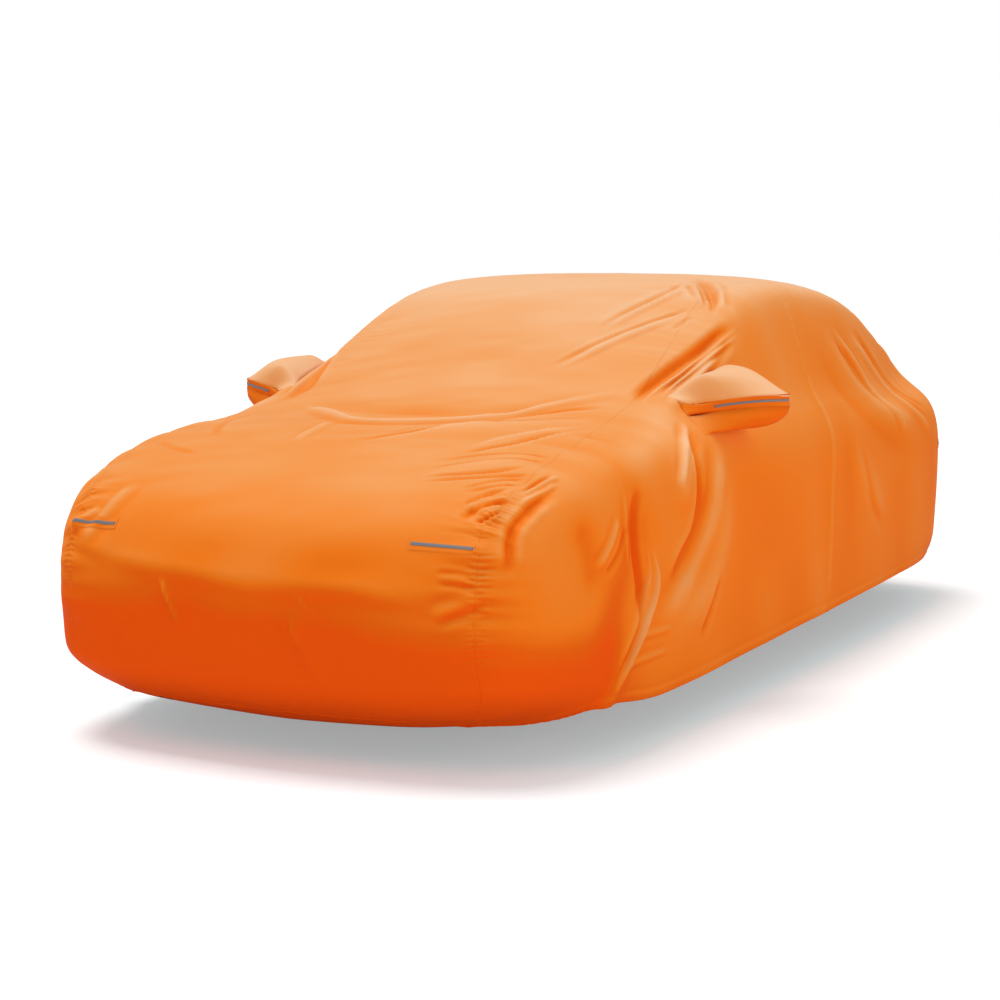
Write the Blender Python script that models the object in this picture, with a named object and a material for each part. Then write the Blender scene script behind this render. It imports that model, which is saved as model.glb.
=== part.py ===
# A fitted car cover in the shape that it takes over a small saloon, without the car.
# Metres, +Z up. The nose is at -Y and the driver's and passenger's mirrors are at +X and -X.
# Heights in the tables are above the ground. The model is then lowered, so that its origin lies
# on the inside of the cloth, in the middle of the roof, where the car carries the cover.
from collections import namedtuple
from types import SimpleNamespace as Sizes

import bmesh
import bpy
import numpy as np
from mathutils import Vector

CLOTH = 0.003          # thickness of the cover's cloth with its soft backing
TRIM = 0.0012          # thickness of the sewn patches and reflective strips
SEAM_GAP = 0.0005      # daylight between two pieces that are sewn edge to edge
POCKET_GAP = 0.0014    # the same around the mirror pockets' pieces, which meet at steep angles
LAY_GAP = 0.0006       # daylight under a patch or a strip
MOUNT_Y = 0.40         # behind the wheels' middle, where the roof is level
LEFT, RIGHT = 1, -1

# The car's body as the cloth sees it, up to the belt line.
BODY = Sizes(
    half_width=0.925, wide_z=0.68, draw_in_low=0.0, draw_in_high=0.34,
    nose_y=-2.115, nose_bow=0.045, nose_z=0.532, nose_under=0.38, nose_over=0.49,
    tail_y=2.364, tail_bow=0.043, tail_z=0.78, tail_under=0.25, tail_over=0.30,
    flare_y=1.03, flare=0.013,
    hood_front_y=-2.16, hood_front_z=0.701, hood_back_y=-1.215, hood_back_z=0.924, hood_crown=0.028,
    deck_z=0.887, deck_start_y=0.2, deck_run=1.4, lip_y=2.11, lip_z=0.026, lip_width=0.13,
    corner_radius=0.165, top_radius=0.145,
)
# The cabin: belt, screens and roof.
CABIN = Sizes(
    belt_z=0.99, belt_half=0.785, lean=0.24, side_bow=0.05, side_bow_y=0.2,
    screen_y=-0.785, screen_z=1.01, screen_run=0.886, screen_rise=0.428, screen_bow=0.198,
    back_y=2.132, back_z=1.09, back_run=1.08, back_rise=0.432, back_bow=0.112,
    roof_z=1.379, roof_peak_y=0.238, roof_fall=0.047, roof_crown=0.019,
    edge_radius=0.10, join_radius=0.10,
)
# The elastic hem draws the cloth in under both bumpers, below this height, and more at the front.
HEM = Sizes(tuck_front=5.6, tuck_rear=1.8, tuck_z=0.28, tuck_start_y=1.35, tuck_run=0.55, plan_bow=0.3)
# A line inside the body that the cloth is pushed out from.
SPINE_FRONT = np.array((0.0, -1.40, 0.52))
SPINE_REAR = np.array((0.0, 1.50, 0.60))
BEYOND = 1.8           # further from the spine than any of the cloth

SeamPoint = namedtuple("SeamPoint", "place x y z")
LONG_SEAM = [
    SeamPoint("front hem", 0.573, -1.80, 0.135),
    SeamPoint("bumper", 0.670, -1.96, 0.400),
    SeamPoint("lamp", 0.672, -1.93, 0.650),
    SeamPoint("wing nose", 0.676, -1.84, 0.745),
    SeamPoint("wing", 0.690, -1.57, 0.845),
    SeamPoint("hood side", 0.662, -1.20, 0.905),
    SeamPoint("pillar foot", 0.624, -0.90, 0.945),
    SeamPoint("mirror", 0.614, -0.70, 1.003),
    SeamPoint("pillar", 0.588, -0.40, 1.133),
    SeamPoint("roof front", 0.562, -0.04, 1.282),
    SeamPoint("roof side", 0.578, 0.40, 1.335),
    SeamPoint("roof rear", 0.610, 1.05, 1.285),
    SeamPoint("back pillar", 0.634, 1.45, 1.180),
    SeamPoint("boot side", 0.655, 1.90, 0.980),
    SeamPoint("boot corner", 0.668, 2.18, 0.885),
    SeamPoint("tail lamp", 0.675, 2.30, 0.720),
    SeamPoint("rear bumper", 0.670, 2.31, 0.400),
    SeamPoint("rear hem", 0.590, 2.14, 0.150),
]
SEAM_WANDER = 0.012    # the other side's seam lies this much off, as sewn cloth does
FOOT_FADE = 0.08       # length over which the seam's ends are led to the hem's ends
UPRIGHT_BELOW = 0.60   # under this height the seam runs up and down the nose and the tail
HEM_WIDTHS = [         # the hem in plan, pulled out to its guide line before it meets the body
    (0.573, -1.80), (0.80, -1.90), (0.98, -1.68), (0.98, -1.2), (0.98, 0.0),
    (0.98, 1.4), (0.98, 1.95), (0.84, 2.25), (0.59, 2.14),
]
HemPoint = namedtuple("HemPoint", "place y z")
HEM_LINE = [
    HemPoint("nose", -2.10, 0.150),
    HemPoint("corner", -1.78, 0.135),
    HemPoint("front wheel", -1.48, 0.162),
    HemPoint("behind the wheel", -1.12, 0.134),
    HemPoint("front door", -0.40, 0.150),
    HemPoint("side seam", 0.40, 0.165),
    HemPoint("rear wheel", 1.50, 0.180),
    HemPoint("tail", 2.30, 0.160),
]
BeltPoint = namedtuple("BeltPoint", "place y z")
BELT_LINE = [          # the line under the windows that the mirror's gusset lies on
    BeltPoint("wing nose", -1.95, 0.650),
    BeltPoint("wing corner", -1.72, 0.690),
    BeltPoint("wheel", -1.35, 0.785),
    BeltPoint("wing", -1.02, 0.875),
    BeltPoint("mirror front", -0.68, 0.931),
    BeltPoint("mirror back", -0.35, 0.946),
    BeltPoint("side seam", 0.40, 0.932),
    BeltPoint("rear wheel", 1.30, 0.870),
    BeltPoint("tail corner", 2.05, 0.790),
    BeltPoint("tail", 2.40, 0.740),
]
# Columns of the side panels, from the front seam to the rear one.
Station = namedtuple("Station", "place seam_y hem_y cells_after")
STATIONS = [
    Station("wing nose", -1.84, -1.80, 5),
    Station("wheel front", -1.57, -1.60, 8),
    Station("wheel rear", -1.12, -1.12, 8),
    Station("mirror front", -0.665, -0.68, 6),
    Station("mirror back", -0.345, -0.37, 10),
    Station("side seam", 0.48, 0.37, 9),
    Station("rear wheel", 1.27, 1.25, 10),
    Station("boot corner", 2.18, 2.14, 0),
]
# Rows from the hem up to the long seam: even ones up to the belt, then the gusset's narrow row.
BELT_ROW, TOP_ROW = 10, 14
ROWS = list(np.linspace(0.0, 0.81, BELT_ROW + 1)) + list(np.linspace(0.865, 1.0, TOP_ROW - BELT_ROW))
MIRROR_ROWS = (BELT_ROW - 1, BELT_ROW, BELT_ROW + 1, BELT_ROW + 2)
CENTER_CELLS = 20      # across the middle panel
# Where the reflective patches lie, in rows and columns of their panels.
Patch = namedtuple("Patch", "place low high near far")
FRONT_PATCH = Patch("front", 9.90, 10.60, 0.15, 2.90)
REAR_PATCH = Patch("rear", 7.25, 7.85, 1.10, 3.40)
STRIP_PART = (0.34, 0.64)     # the part of the patch's height that its strip covers
STRIP_INSET = 0.1             # the strip ends this part of a column inside the patch
MIRROR_STRIP = Patch("mirror", 0.40, 0.62, 1.5, 0.7)   # low and high in the gusset's row; ends past the tip

# Main folds. A path is seen from the side as (y, z), from the top as (x, y), from the front as (x, z).
Fold = namedtuple("Fold", "place seen side path width lift fade")
FOLDS = [
    Fold("wheel ridge", "side", LEFT,
         [(-1.21, 0.60), (-1.21, 0.50), (-1.25, 0.41), (-1.36, 0.31), (-1.46, 0.20), (-1.49, 0.13)],
         0.036, 0.016, "start"),
    Fold("wheel trough", "side", LEFT,
         [(-1.27, 0.80), (-1.315, 0.68), (-1.315, 0.58), (-1.29, 0.46), (-1.32, 0.36)],
         0.045, -0.020, "both"),
    Fold("corner hollow", "side", LEFT, [(-1.64, 0.72), (-1.60, 0.60), (-1.57, 0.46)],
         0.050, -0.012, "both"),
    Fold("pillar trough", "side", LEFT, [(-0.78, 0.975), (-0.58, 1.047), (-0.34, 1.127), (-0.02, 1.208)],
         0.032, -0.018, "both"),
    Fold("pillar ridge", "side", LEFT, [(-0.80, 0.935), (-0.61, 0.992), (-0.44, 1.050), (-0.16, 1.140)],
         0.032, 0.012, "both"),
    Fold("mirror front ridge", "side", LEFT, [(-0.83, 0.89), (-0.93, 0.79), (-1.03, 0.66)],
         0.045, 0.011, "both"),
    Fold("mirror foot ridge", "side", LEFT, [(-0.62, 0.84), (-0.70, 0.53), (-0.86, 0.38), (-1.21, 0.33)],
         0.075, 0.016, "both"),
    Fold("door hollow", "side", LEFT, [(-0.82, 0.78), (-0.86, 0.56), (-1.02, 0.44)],
         0.060, -0.012, "both"),
    Fold("rear long fold", "side", LEFT, [(0.78, 1.17), (1.13, 0.86), (1.65, 0.73)],
         0.055, 0.014, "both"),
    Fold("rear long hollow", "side", LEFT, [(0.62, 1.10), (0.98, 0.78), (1.50, 0.64)],
         0.060, -0.010, "both"),
    Fold("rear soft ridge", "side", LEFT, [(0.63, 0.77), (0.86, 0.58), (1.07, 0.40)],
         0.070, 0.010, "both"),
    Fold("far wheel ridge", "side", RIGHT, [(-1.34, 0.74), (-1.33, 0.55), (-1.37, 0.34), (-1.43, 0.13)],
         0.040, 0.017, "start"),
    Fold("far wheel trough", "side", RIGHT, [(-1.43, 0.70), (-1.42, 0.52), (-1.47, 0.32)],
         0.050, -0.014, "both"),
    Fold("far pillar trough", "side", RIGHT, [(-0.92, 0.93), (-0.70, 1.00), (-0.34, 1.10), (-0.04, 1.18)],
         0.040, -0.018, "both"),
    Fold("far pillar ridge", "side", RIGHT, [(-0.96, 0.88), (-0.66, 0.965), (-0.32, 1.06)],
         0.040, 0.011, "both"),
    Fold("far mirror ridge", "side", RIGHT, [(-0.56, 0.84), (-0.62, 0.56), (-0.80, 0.35)],
         0.080, 0.014, "both"),
    Fold("far rear fold", "side", RIGHT, [(0.84, 1.14), (1.20, 0.85), (1.70, 0.72)],
         0.060, 0.013, "both"),
    Fold("far rear ridge", "side", RIGHT, [(0.60, 0.74), (0.82, 0.53), (1.00, 0.35)],
         0.075, 0.010, "both"),
    Fold("roof tuck", "top", LEFT, [(0.39, 0.32), (0.495, 0.165), (0.56, 0.05), (0.63, -0.13)],
         0.040, -0.018, "both"),
    Fold("roof tuck lip", "top", LEFT, [(0.38, 0.20), (0.46, 0.09), (0.535, -0.04), (0.58, -0.12)],
         0.034, 0.009, "both"),
    Fold("screen fold high", "top", LEFT, [(0.47, 0.08), (0.38, -0.15), (0.30, -0.38)],
         0.040, 0.009, "both"),
    Fold("screen fold low", "top", LEFT, [(0.55, -0.18), (0.42, -0.39), (0.27, -0.61)],
         0.040, 0.009, "both"),
    Fold("cowl hollow", "top", LEFT, [(-0.54, -0.86), (-0.20, -1.03), (0.20, -1.02), (0.56, -0.85)],
         0.070, -0.012, "both"),
    Fold("cowl ridge", "top", LEFT, [(-0.48, -1.04), (-0.27, -1.14), (-0.10, -1.28)],
         0.045, 0.010, "both"),
    Fold("hood fold long", "top", LEFT, [(0.62, -0.96), (0.38, -1.23), (0.08, -1.50)],
         0.045, 0.011, "both"),
    Fold("hood fold middle", "top", LEFT, [(0.63, -1.08), (0.55, -1.32), (0.45, -1.55)],
         0.045, 0.010, "both"),
    Fold("hood fold front", "top", LEFT, [(0.67, -1.50), (0.53, -1.66), (0.37, -1.79)],
         0.045, 0.009, "both"),
    Fold("nose crease", "front", LEFT, [(-0.62, 0.585), (-0.24, 0.563), (0.34, 0.542), (0.68, 0.532)],
         0.045, 0.012, "both"),
    Fold("nose hollow", "front", LEFT, [(-0.58, 0.47), (-0.10, 0.45), (0.50, 0.44)],
         0.080, -0.009, "both"),
    Fold("lamp fold", "front", RIGHT, [(-0.70, 0.66), (-0.60, 0.61), (-0.46, 0.58)],
         0.035, 0.011, "both"),
    Fold("number fold", "front", LEFT, [(-0.29, 0.54), (-0.25, 0.45), (-0.21, 0.36)],
         0.030, 0.010, "both"),
    Fold("bumper fold", "front", LEFT, [(0.14, 0.48), (0.19, 0.37), (0.23, 0.27)], 0.032, 0.010, "both"),
]
FADE_PART = 0.3        # part of a fold's length over which it rises from the plain form
# Places well inside and outside the body, between which a fold's points are moved onto it.
OUTSIDE = Sizes(side=0.95, top=1.6, front=-2.3)
INSIDE = Sizes(top=0.55, front=-1.4)
# Gathers across the long seam, where the curved panel edge is eased into the straight one.
GATHER = Sizes(wave=0.135, height=0.004, reach=0.085, start_y=-2.05, end_y=-0.95, fade_part=0.15)

# The mirror pocket in plan, around its gusset from the front foot to the back foot.
PocketPoint = namedtuple("PocketPoint", "place out y z")
POCKET = [
    PocketPoint("front foot", 0.00, -0.650, 0.948),
    PocketPoint("front fold", 0.030, -0.620, 0.953),
    PocketPoint("front", 0.095, -0.590, 0.965),
    PocketPoint("front tip", 0.185, -0.535, 0.976),
    PocketPoint("tip", 0.243, -0.452, 0.975),
    PocketPoint("back tip", 0.213, -0.380, 0.972),
    PocketPoint("back", 0.11, -0.352, 0.967),
    PocketPoint("back foot", 0.00, -0.345, 0.962),
]
GUSSET = 0.034         # height of the pocket's gusset
DOME = 0.056           # rise of the pocket's top over a flat lid
DOME_LEAN = 1.25       # above 1, the top is highest nearer the panel than the gusset
BELLY = 0.036          # drop of its underside
BELLY_LEAN = 0.6       # below 1, the underside is deepest nearer the gusset
FULL_FROM = 0.12       # how far out from the panel the pocket has its whole height
PUFF = 0.011           # outward swell of both
POCKET_CELLS = 2       # pocket columns in each column of the panel
POCKET_RUNGS = 3       # rows of the pocket's top and underside

CLOTH_COLOR = (0.86, 0.23, 0.03, 1.0)
REFLECTIVE_COLOR = (0.42, 0.43, 0.46, 1.0)


def soft_max(a, b, radius):
    return 0.5 * (a + b + np.sqrt((a - b) ** 2 + radius ** 2))


def soft_min(a, b, radius):
    return 0.5 * (a + b - np.sqrt((a - b) ** 2 + radius ** 2))


def ease(t):
    t = np.clip(t, 0.0, 1.0)
    return t * t * (3.0 - 2.0 * t)


def wall_form(x, y, z):
    """The body's sides, front and rear: below zero inside, about the distance outside."""
    across = np.sqrt(x * x + 1e-6)
    tuck = np.where(y < 0.0, HEM.tuck_front, HEM.tuck_rear) * np.clip(HEM.tuck_z - z, 0.0, None) ** 2
    tuck_side = tuck * ease((np.abs(y) - HEM.tuck_start_y) / HEM.tuck_run)
    rise = z - BODY.wide_z
    draw_in = np.where(rise < 0.0, BODY.draw_in_low, BODY.draw_in_high) * rise ** 2
    flare = BODY.flare * np.clip(y - BODY.flare_y, 0.0, None) ** 2
    side = across - (BODY.half_width + flare - draw_in - tuck_side)
    rise = z - BODY.nose_z
    lean = np.where(rise < 0.0, BODY.nose_under, BODY.nose_over) * rise ** 2
    front = BODY.nose_y + BODY.nose_bow * x * x + lean + tuck - y
    rise = z - BODY.tail_z
    lean = np.where(rise < 0.0, BODY.tail_under, BODY.tail_over) * rise ** 2
    rear = y - (BODY.tail_y - BODY.tail_bow * x * x - lean - tuck)
    return soft_max(soft_max(side, front, 2 * BODY.corner_radius), rear, 2 * BODY.corner_radius)


def top_form(x, y, z):
    """The hood and the boot lid."""
    t = np.clip((y - BODY.hood_front_y) / (BODY.hood_back_y - BODY.hood_front_y), 0.0, 1.0)
    hood = BODY.hood_front_z + (BODY.hood_back_z - BODY.hood_front_z) * np.sin(t * np.pi / 2)
    deck = (BODY.deck_z - BODY.hood_back_z) * ease((y - BODY.deck_start_y) / BODY.deck_run)
    lip = BODY.lip_z * np.exp(-((y - BODY.lip_y) / BODY.lip_width) ** 2)
    return z - (hood + deck + lip - BODY.hood_crown * x * x)


def cabin_form(x, y, z):
    across = np.sqrt(x * x + 1e-6)
    rise = np.clip(z - CABIN.belt_z, -0.1, None)
    bow = CABIN.side_bow * (y - CABIN.side_bow_y) ** 2
    side = (across - (CABIN.belt_half - CABIN.lean * rise - bow)) / np.hypot(1.0, CABIN.lean)
    run, up = CABIN.screen_run, CABIN.screen_rise
    foot_y = CABIN.screen_y + CABIN.screen_bow * x * x
    screen = ((z - CABIN.screen_z) * run - (y - foot_y) * up) / np.hypot(run, up)
    run, up = CABIN.back_run, CABIN.back_rise
    foot_y = CABIN.back_y - CABIN.back_bow * x * x
    back = ((z - CABIN.back_z) * run + (y - foot_y) * up) / np.hypot(run, up)
    roof = z - (CABIN.roof_z - CABIN.roof_fall * (y - CABIN.roof_peak_y) ** 2 - CABIN.roof_crown * x * x)
    shell = soft_max(soft_max(screen, back, 0.05), roof, CABIN.edge_radius)
    shell = soft_max(shell, side, CABIN.edge_radius)
    return soft_max(shell, CABIN.belt_z - 0.15 - z, 0.05)


def car_form(points):
    x, y, z = points[..., 0], points[..., 1], points[..., 2]
    walls = wall_form(x, y, z)
    body = soft_max(walls, top_form(x, y, z), BODY.top_radius)
    cabin = soft_max(cabin_form(x, y, z), walls, 0.06)
    return soft_min(body, cabin, CABIN.join_radius)


def form_normals(points):
    step = 1e-3
    slopes = [car_form(points + step * axis) - car_form(points - step * axis) for axis in np.eye(3)]
    slopes = np.stack(slopes, axis=-1)
    return slopes / np.linalg.norm(slopes, axis=-1, keepdims=True)


def reach(starts, directions, far=BEYOND, halvings=26):
    """The points where rays from inside the car leave its form."""
    directions = directions / np.linalg.norm(directions, axis=-1, keepdims=True)
    near = np.zeros(directions.shape[:-1] + (1,))
    far = np.full_like(near, far)
    for _ in range(halvings):
        middle = (near + far) / 2
        inside = (car_form(starts + directions * middle) < 0.0)[..., None]
        near, far = np.where(inside, middle, near), np.where(inside, far, middle)
    return starts + directions * near


def push_out(guides):
    """Guide points moved onto the form, straight away from the spine."""
    t = np.clip((guides[..., 1] - SPINE_FRONT[1]) / (SPINE_REAR[1] - SPINE_FRONT[1]), 0.0, 1.0)
    starts = SPINE_FRONT + (SPINE_REAR - SPINE_FRONT) * t[..., None]
    return reach(starts, guides - starts)


def smooth_path(points, steps=24):
    """A curve through the points, with even slopes (Catmull-Rom)."""
    points = np.asarray(points, float)
    padded = np.vstack([2 * points[0] - points[1], points, 2 * points[-1] - points[-2]])
    t = (np.arange(steps) / steps)[:, None]
    pieces = []
    for a, b, c, d in zip(padded, padded[1:], padded[2:], padded[3:]):
        pieces.append(0.5 * (2 * b + (c - a) * t + (2 * a - 5 * b + 4 * c - d) * t ** 2
                             + (3 * b - a - 3 * c + d) * t ** 3))
    return np.vstack(pieces + [points[-1:]])


def along(curve, key, places):
    """Points of a dense curve at the given values of a key that grows along it."""
    return np.stack([np.interp(places, key, curve[:, axis]) for axis in range(3)], axis=-1)


def arc_length(curve):
    steps = np.linalg.norm(np.diff(curve, axis=0), axis=1)
    return np.concatenate([[0.0], np.cumsum(steps)])


def hem_height(y):
    line = smooth_path([(point.y, point.z) for point in HEM_LINE])
    return np.interp(y, line[:, 0], line[:, 1])


def onto_hem(plan):
    """Plan points moved out to the form at the hem's height."""
    height = hem_height(plan[:, 1])
    spine_y = np.clip(plan[:, 1], SPINE_FRONT[1], SPINE_REAR[1])
    starts = np.stack([np.zeros_like(height), spine_y, height], axis=-1)
    guides = np.stack([plan[:, 0], plan[:, 1], height], axis=-1)
    return reach(starts, guides - starts)


def side_curves(side):
    """The long seam and the side's hem, as dense curves on the form."""
    seam = smooth_path([(point.x, point.y, point.z) for point in LONG_SEAM])
    hem = smooth_path(HEM_WIDTHS)
    if side == RIGHT:
        seam[:, 1] += SEAM_WANDER * np.sin(2.1 * seam[:, 1]) * ease((2.0 - np.abs(seam[:, 1])) / 0.5)
    seam[:, 0] *= side
    hem[:, 0] *= side
    seam = push_out(seam)
    hem = onto_hem(hem)
    # The seam's two feet and the hem's two ends are the same points.
    for end in (0, -1):
        fade = np.exp(-np.linalg.norm(seam - seam[end], axis=1) / FOOT_FADE)[:, None]
        seam = seam + fade * (hem[end] - seam[end])
        seam[end] = hem[end]
    return seam, hem


def columns():
    """Seam and hem places of every column of a side panel, and the index of each station."""
    seam_y, hem_y, index = [], [], {}
    for station, after in zip(STATIONS, STATIONS[1:]):
        index[station.place] = len(seam_y)
        seam_y += list(np.linspace(station.seam_y, after.seam_y, station.cells_after, endpoint=False))
        hem_y += list(np.linspace(station.hem_y, after.hem_y, station.cells_after, endpoint=False))
    index[STATIONS[-1].place] = len(seam_y)
    return np.array(seam_y + [STATIONS[-1].seam_y]), np.array(hem_y + [STATIONS[-1].hem_y]), index


def seam_parts(seam):
    """The seam's upright front part, its top part and its upright rear part, at their stations."""
    seam_y, _, _ = columns()
    share = np.array(ROWS)
    middle = len(seam) // 2
    upright = BEYOND * (seam[:, 2] < UPRIGHT_BELOW)
    corner_front = np.argmin(np.abs(seam[:middle, 1] - seam_y[0]) + upright[:middle])
    corner_rear = middle + np.argmin(np.abs(seam[middle:, 1] - seam_y[-1]) + upright[middle:])
    front, top, rear = seam[:corner_front + 1], seam[corner_front:corner_rear + 1], seam[corner_rear:]
    length = arc_length(front)
    front = along(front, length, share * length[-1])
    length = arc_length(rear)
    rear = along(rear, length, (1.0 - share[::-1]) * length[-1])
    places = np.clip(seam_y, top[0, 1], top[-1, 1])
    places[0], places[-1] = top[0, 1], top[-1, 1]
    return front, along(top, top[:, 1], places), rear


def folded(points):
    """Points of the plain form, raised and sunk by the folds, and the form's normals there."""
    normals = form_normals(points)
    lift = np.zeros(points.shape[:-1])
    for fold in FOLDS:
        path = fold_path(fold)
        distance, t = distance_to(points, path)
        fade = np.ones_like(t)
        if fold.fade in ("start", "both"):
            fade = fade * ease(t / FADE_PART)
        if fold.fade in ("end", "both"):
            fade = fade * ease((1.0 - t) / FADE_PART)
        lift += fold.lift * fade * np.exp(-(distance / fold.width) ** 2)
    lift += gathers(points)
    return points + normals * lift[..., None], normals


def fold_path(fold):
    """A fold's path on the form: its points are pushed in from the side, the top or the front."""
    path = smooth_path(fold.path, steps=4)
    first, second = path[:, 0], path[:, 1]
    if fold.seen == "side":
        guides = np.stack([np.full_like(first, fold.side * OUTSIDE.side), first, second], axis=-1)
        starts = guides * (0.0, 1.0, 1.0)
    elif fold.seen == "top":
        guides = np.stack([first, second, np.full_like(first, OUTSIDE.top)], axis=-1)
        starts = np.stack([first, second, np.full_like(first, INSIDE.top)], axis=-1)
    else:
        guides = np.stack([first, np.full_like(first, OUTSIDE.front), second], axis=-1)
        starts = np.stack([first, np.full_like(first, INSIDE.front), second], axis=-1)
    return reach(starts, guides - starts)


def distance_to(points, path):
    """Distance of each point to a path, and how far along it the nearest place is, from 0 to 1."""
    best = np.full(points.shape[:-1], np.inf)
    where = np.zeros(points.shape[:-1])
    count = len(path) - 1
    for index in range(count):
        start, step = path[index], path[index + 1] - path[index]
        t = np.clip(((points - start) @ step) / (step @ step), 0.0, 1.0)
        distance = np.linalg.norm(points - (start + t[..., None] * step), axis=-1)
        closer = distance < best
        best = np.where(closer, distance, best)
        where = np.where(closer, (index + t) / count, where)
    return best, where


def gathers(points):
    lift = np.zeros(points.shape[:-1])
    for side in (LEFT, RIGHT):
        seam, _ = CURVES[side]
        part = seam[(seam[:, 1] > GATHER.start_y) & (seam[:, 1] < GATHER.end_y)][::6]
        distance, t = distance_to(points, part)
        wave = np.sin(2 * np.pi * t * arc_length(part)[-1] / GATHER.wave)
        ends = ease(t / GATHER.fade_part) * ease((1.0 - t) / GATHER.fade_part)
        lift += GATHER.height * wave * ends * np.exp(-(distance / GATHER.reach) ** 2)
    return lift


def center_grid():
    """Points of the middle panel: rows from the front hem over the roof to the rear hem."""
    across = np.linspace(-1.0, 1.0, CENTER_CELLS + 1)[None, :, None]
    edges = []
    for side in (RIGHT, LEFT):
        front, top, rear = seam_parts(CURVES[side][0])
        edges.append(np.vstack([front[:-1], top[:-1], rear]))
    right, left = edges
    middle = push_out((right + left) / 2)
    rows = (right[:, None] * (across ** 2 - across) + left[:, None] * (across ** 2 + across)) / 2
    rows = push_out(rows + middle[:, None] * (1.0 - across ** 2))
    for end in (0, -1):
        plan = np.linspace(right[end], left[end], CENTER_CELLS + 1)[:, :2]
        plan[:, 1] += np.sign(plan[0, 1]) * HEM.plan_bow
        rows[end] = onto_hem(plan)
    rows[:, 0], rows[:, -1] = right, left
    return folded(rows)


def belt_row(low, top, rise):
    """The belt line on the form, a rise above its own height, with a point for each column."""
    line = smooth_path([(point.y, point.z) for point in BELT_LINE])
    plan = (low + 3 * top) / 4
    height = np.interp(plan[:, 1], line[:, 0], line[:, 1]) + rise
    starts = np.stack([0 * height, np.clip(plan[:, 1], SPINE_FRONT[1], SPINE_REAR[1]), height], axis=-1)
    guides = np.stack([plan[:, 0], plan[:, 1], height], axis=-1)
    return reach(starts, guides - starts)


def side_grid(side):
    """Points of a side panel: rows from the hem up to the long seam, columns from front to rear."""
    seam, hem = CURVES[side]
    front, top, rear = seam_parts(seam)
    rear = rear[::-1]
    _, hem_y, _ = columns()
    low = along(hem, hem[:, 1], np.clip(hem_y, hem[0, 1], hem[-1, 1]))
    low[0], low[-1] = hem[0], hem[-1]
    belt, above = belt_row(low, top, 0.0), belt_row(low, top, GUSSET)
    s = arc_length(top)[:, None]
    s = s / s.max()
    rows = np.zeros((TOP_ROW + 1, len(top), 3))
    for start, end, start_row, end_row in ((low, belt, 0, BELT_ROW), (belt, above, BELT_ROW, BELT_ROW + 1),
                                           (above, top, BELT_ROW + 1, TOP_ROW)):
        for row in range(start_row, end_row + 1):
            t = (row - start_row) / (end_row - start_row)
            ruled = start * (1 - t) + end * t
            ends = (front[row] - ruled[0]) * (1 - s) ** 6 + (rear[row] - ruled[-1]) * s ** 6
            rows[row] = ruled + ends
    rows = push_out(rows)
    rows[0], rows[-1] = low, top
    rows[:, 0], rows[:, -1] = front, rear
    return folded(rows)


def pocket_grid(side, panel, mirror_columns):
    """Points of a mirror pocket: rows from the hole's lower edge round the gusset to its upper edge."""
    first, last = mirror_columns
    low, gusset_low, gusset_high, high = MIRROR_ROWS
    cells = (last - first) * POCKET_CELLS
    places = first + np.arange(cells + 1) / POCKET_CELLS
    rim_low = between(panel, low, places)
    rim_high = between(panel, high, places)
    path = smooth_path([(point.out, point.y, point.z) for point in POCKET])
    length = arc_length(path)
    path = along(path, length, np.linspace(0.0, length[-1], cells + 1))
    foot = np.linspace(panel[gusset_low, first], panel[gusset_low, last], cells + 1)
    center = np.stack([foot[:, 0] + side * path[:, 0], path[:, 1], path[:, 2]], axis=-1)
    up = np.array((0.0, 0.0, GUSSET / 2))
    edge_low, edge_high = center - up, center + up
    for column, place in ((0, first), (-1, last)):
        edge_low[column] = panel[gusset_low, place]
        edge_high[column] = panel[gusset_high, place]
    t = np.linspace(0.0, 1.0, POCKET_RUNGS + 1)[:, None, None]
    full = ease(path[:, 0] / FULL_FROM)[None, :, None]
    sag = full * np.sin(np.pi * (1 - t) ** BELLY_LEAN)
    rise = full * np.sin(np.pi * t ** DOME_LEAN)
    bottom = rim_low * (1 - t) + edge_low * t + sag * (side * PUFF, 0.0, -BELLY)
    top = edge_high * (1 - t) + rim_high * t + rise * (side * PUFF, 0.0, DOME)
    points = np.vstack([bottom, top])
    along_rows, along_columns = np.gradient(points, axis=0), np.gradient(points, axis=1)
    normals = np.cross(along_columns, along_rows) * side
    return points, normals / np.linalg.norm(normals, axis=-1, keepdims=True)


def between(grid, row, column):
    """Grid points at whole or part rows and columns."""
    row, column = np.broadcast_arrays(np.asarray(row, float), np.asarray(column, float))
    i = np.clip(row.astype(int), 0, grid.shape[0] - 2)
    j = np.clip(column.astype(int), 0, grid.shape[1] - 2)
    a, b = (row - i)[..., None], (column - j)[..., None]
    lower = grid[i, j] * (1 - b) + grid[i, j + 1] * b
    upper = grid[i + 1, j] * (1 - b) + grid[i + 1, j + 1] * b
    return lower * (1 - a) + upper * a


def make_material(name, color, roughness):
    material = bpy.data.materials.new(name)
    material.use_nodes = True
    shader = material.node_tree.nodes["Principled BSDF"]
    shader.inputs["Base Color"].default_value = color
    shader.inputs["Roughness"].default_value = roughness
    material.diffuse_color = color
    return material


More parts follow.
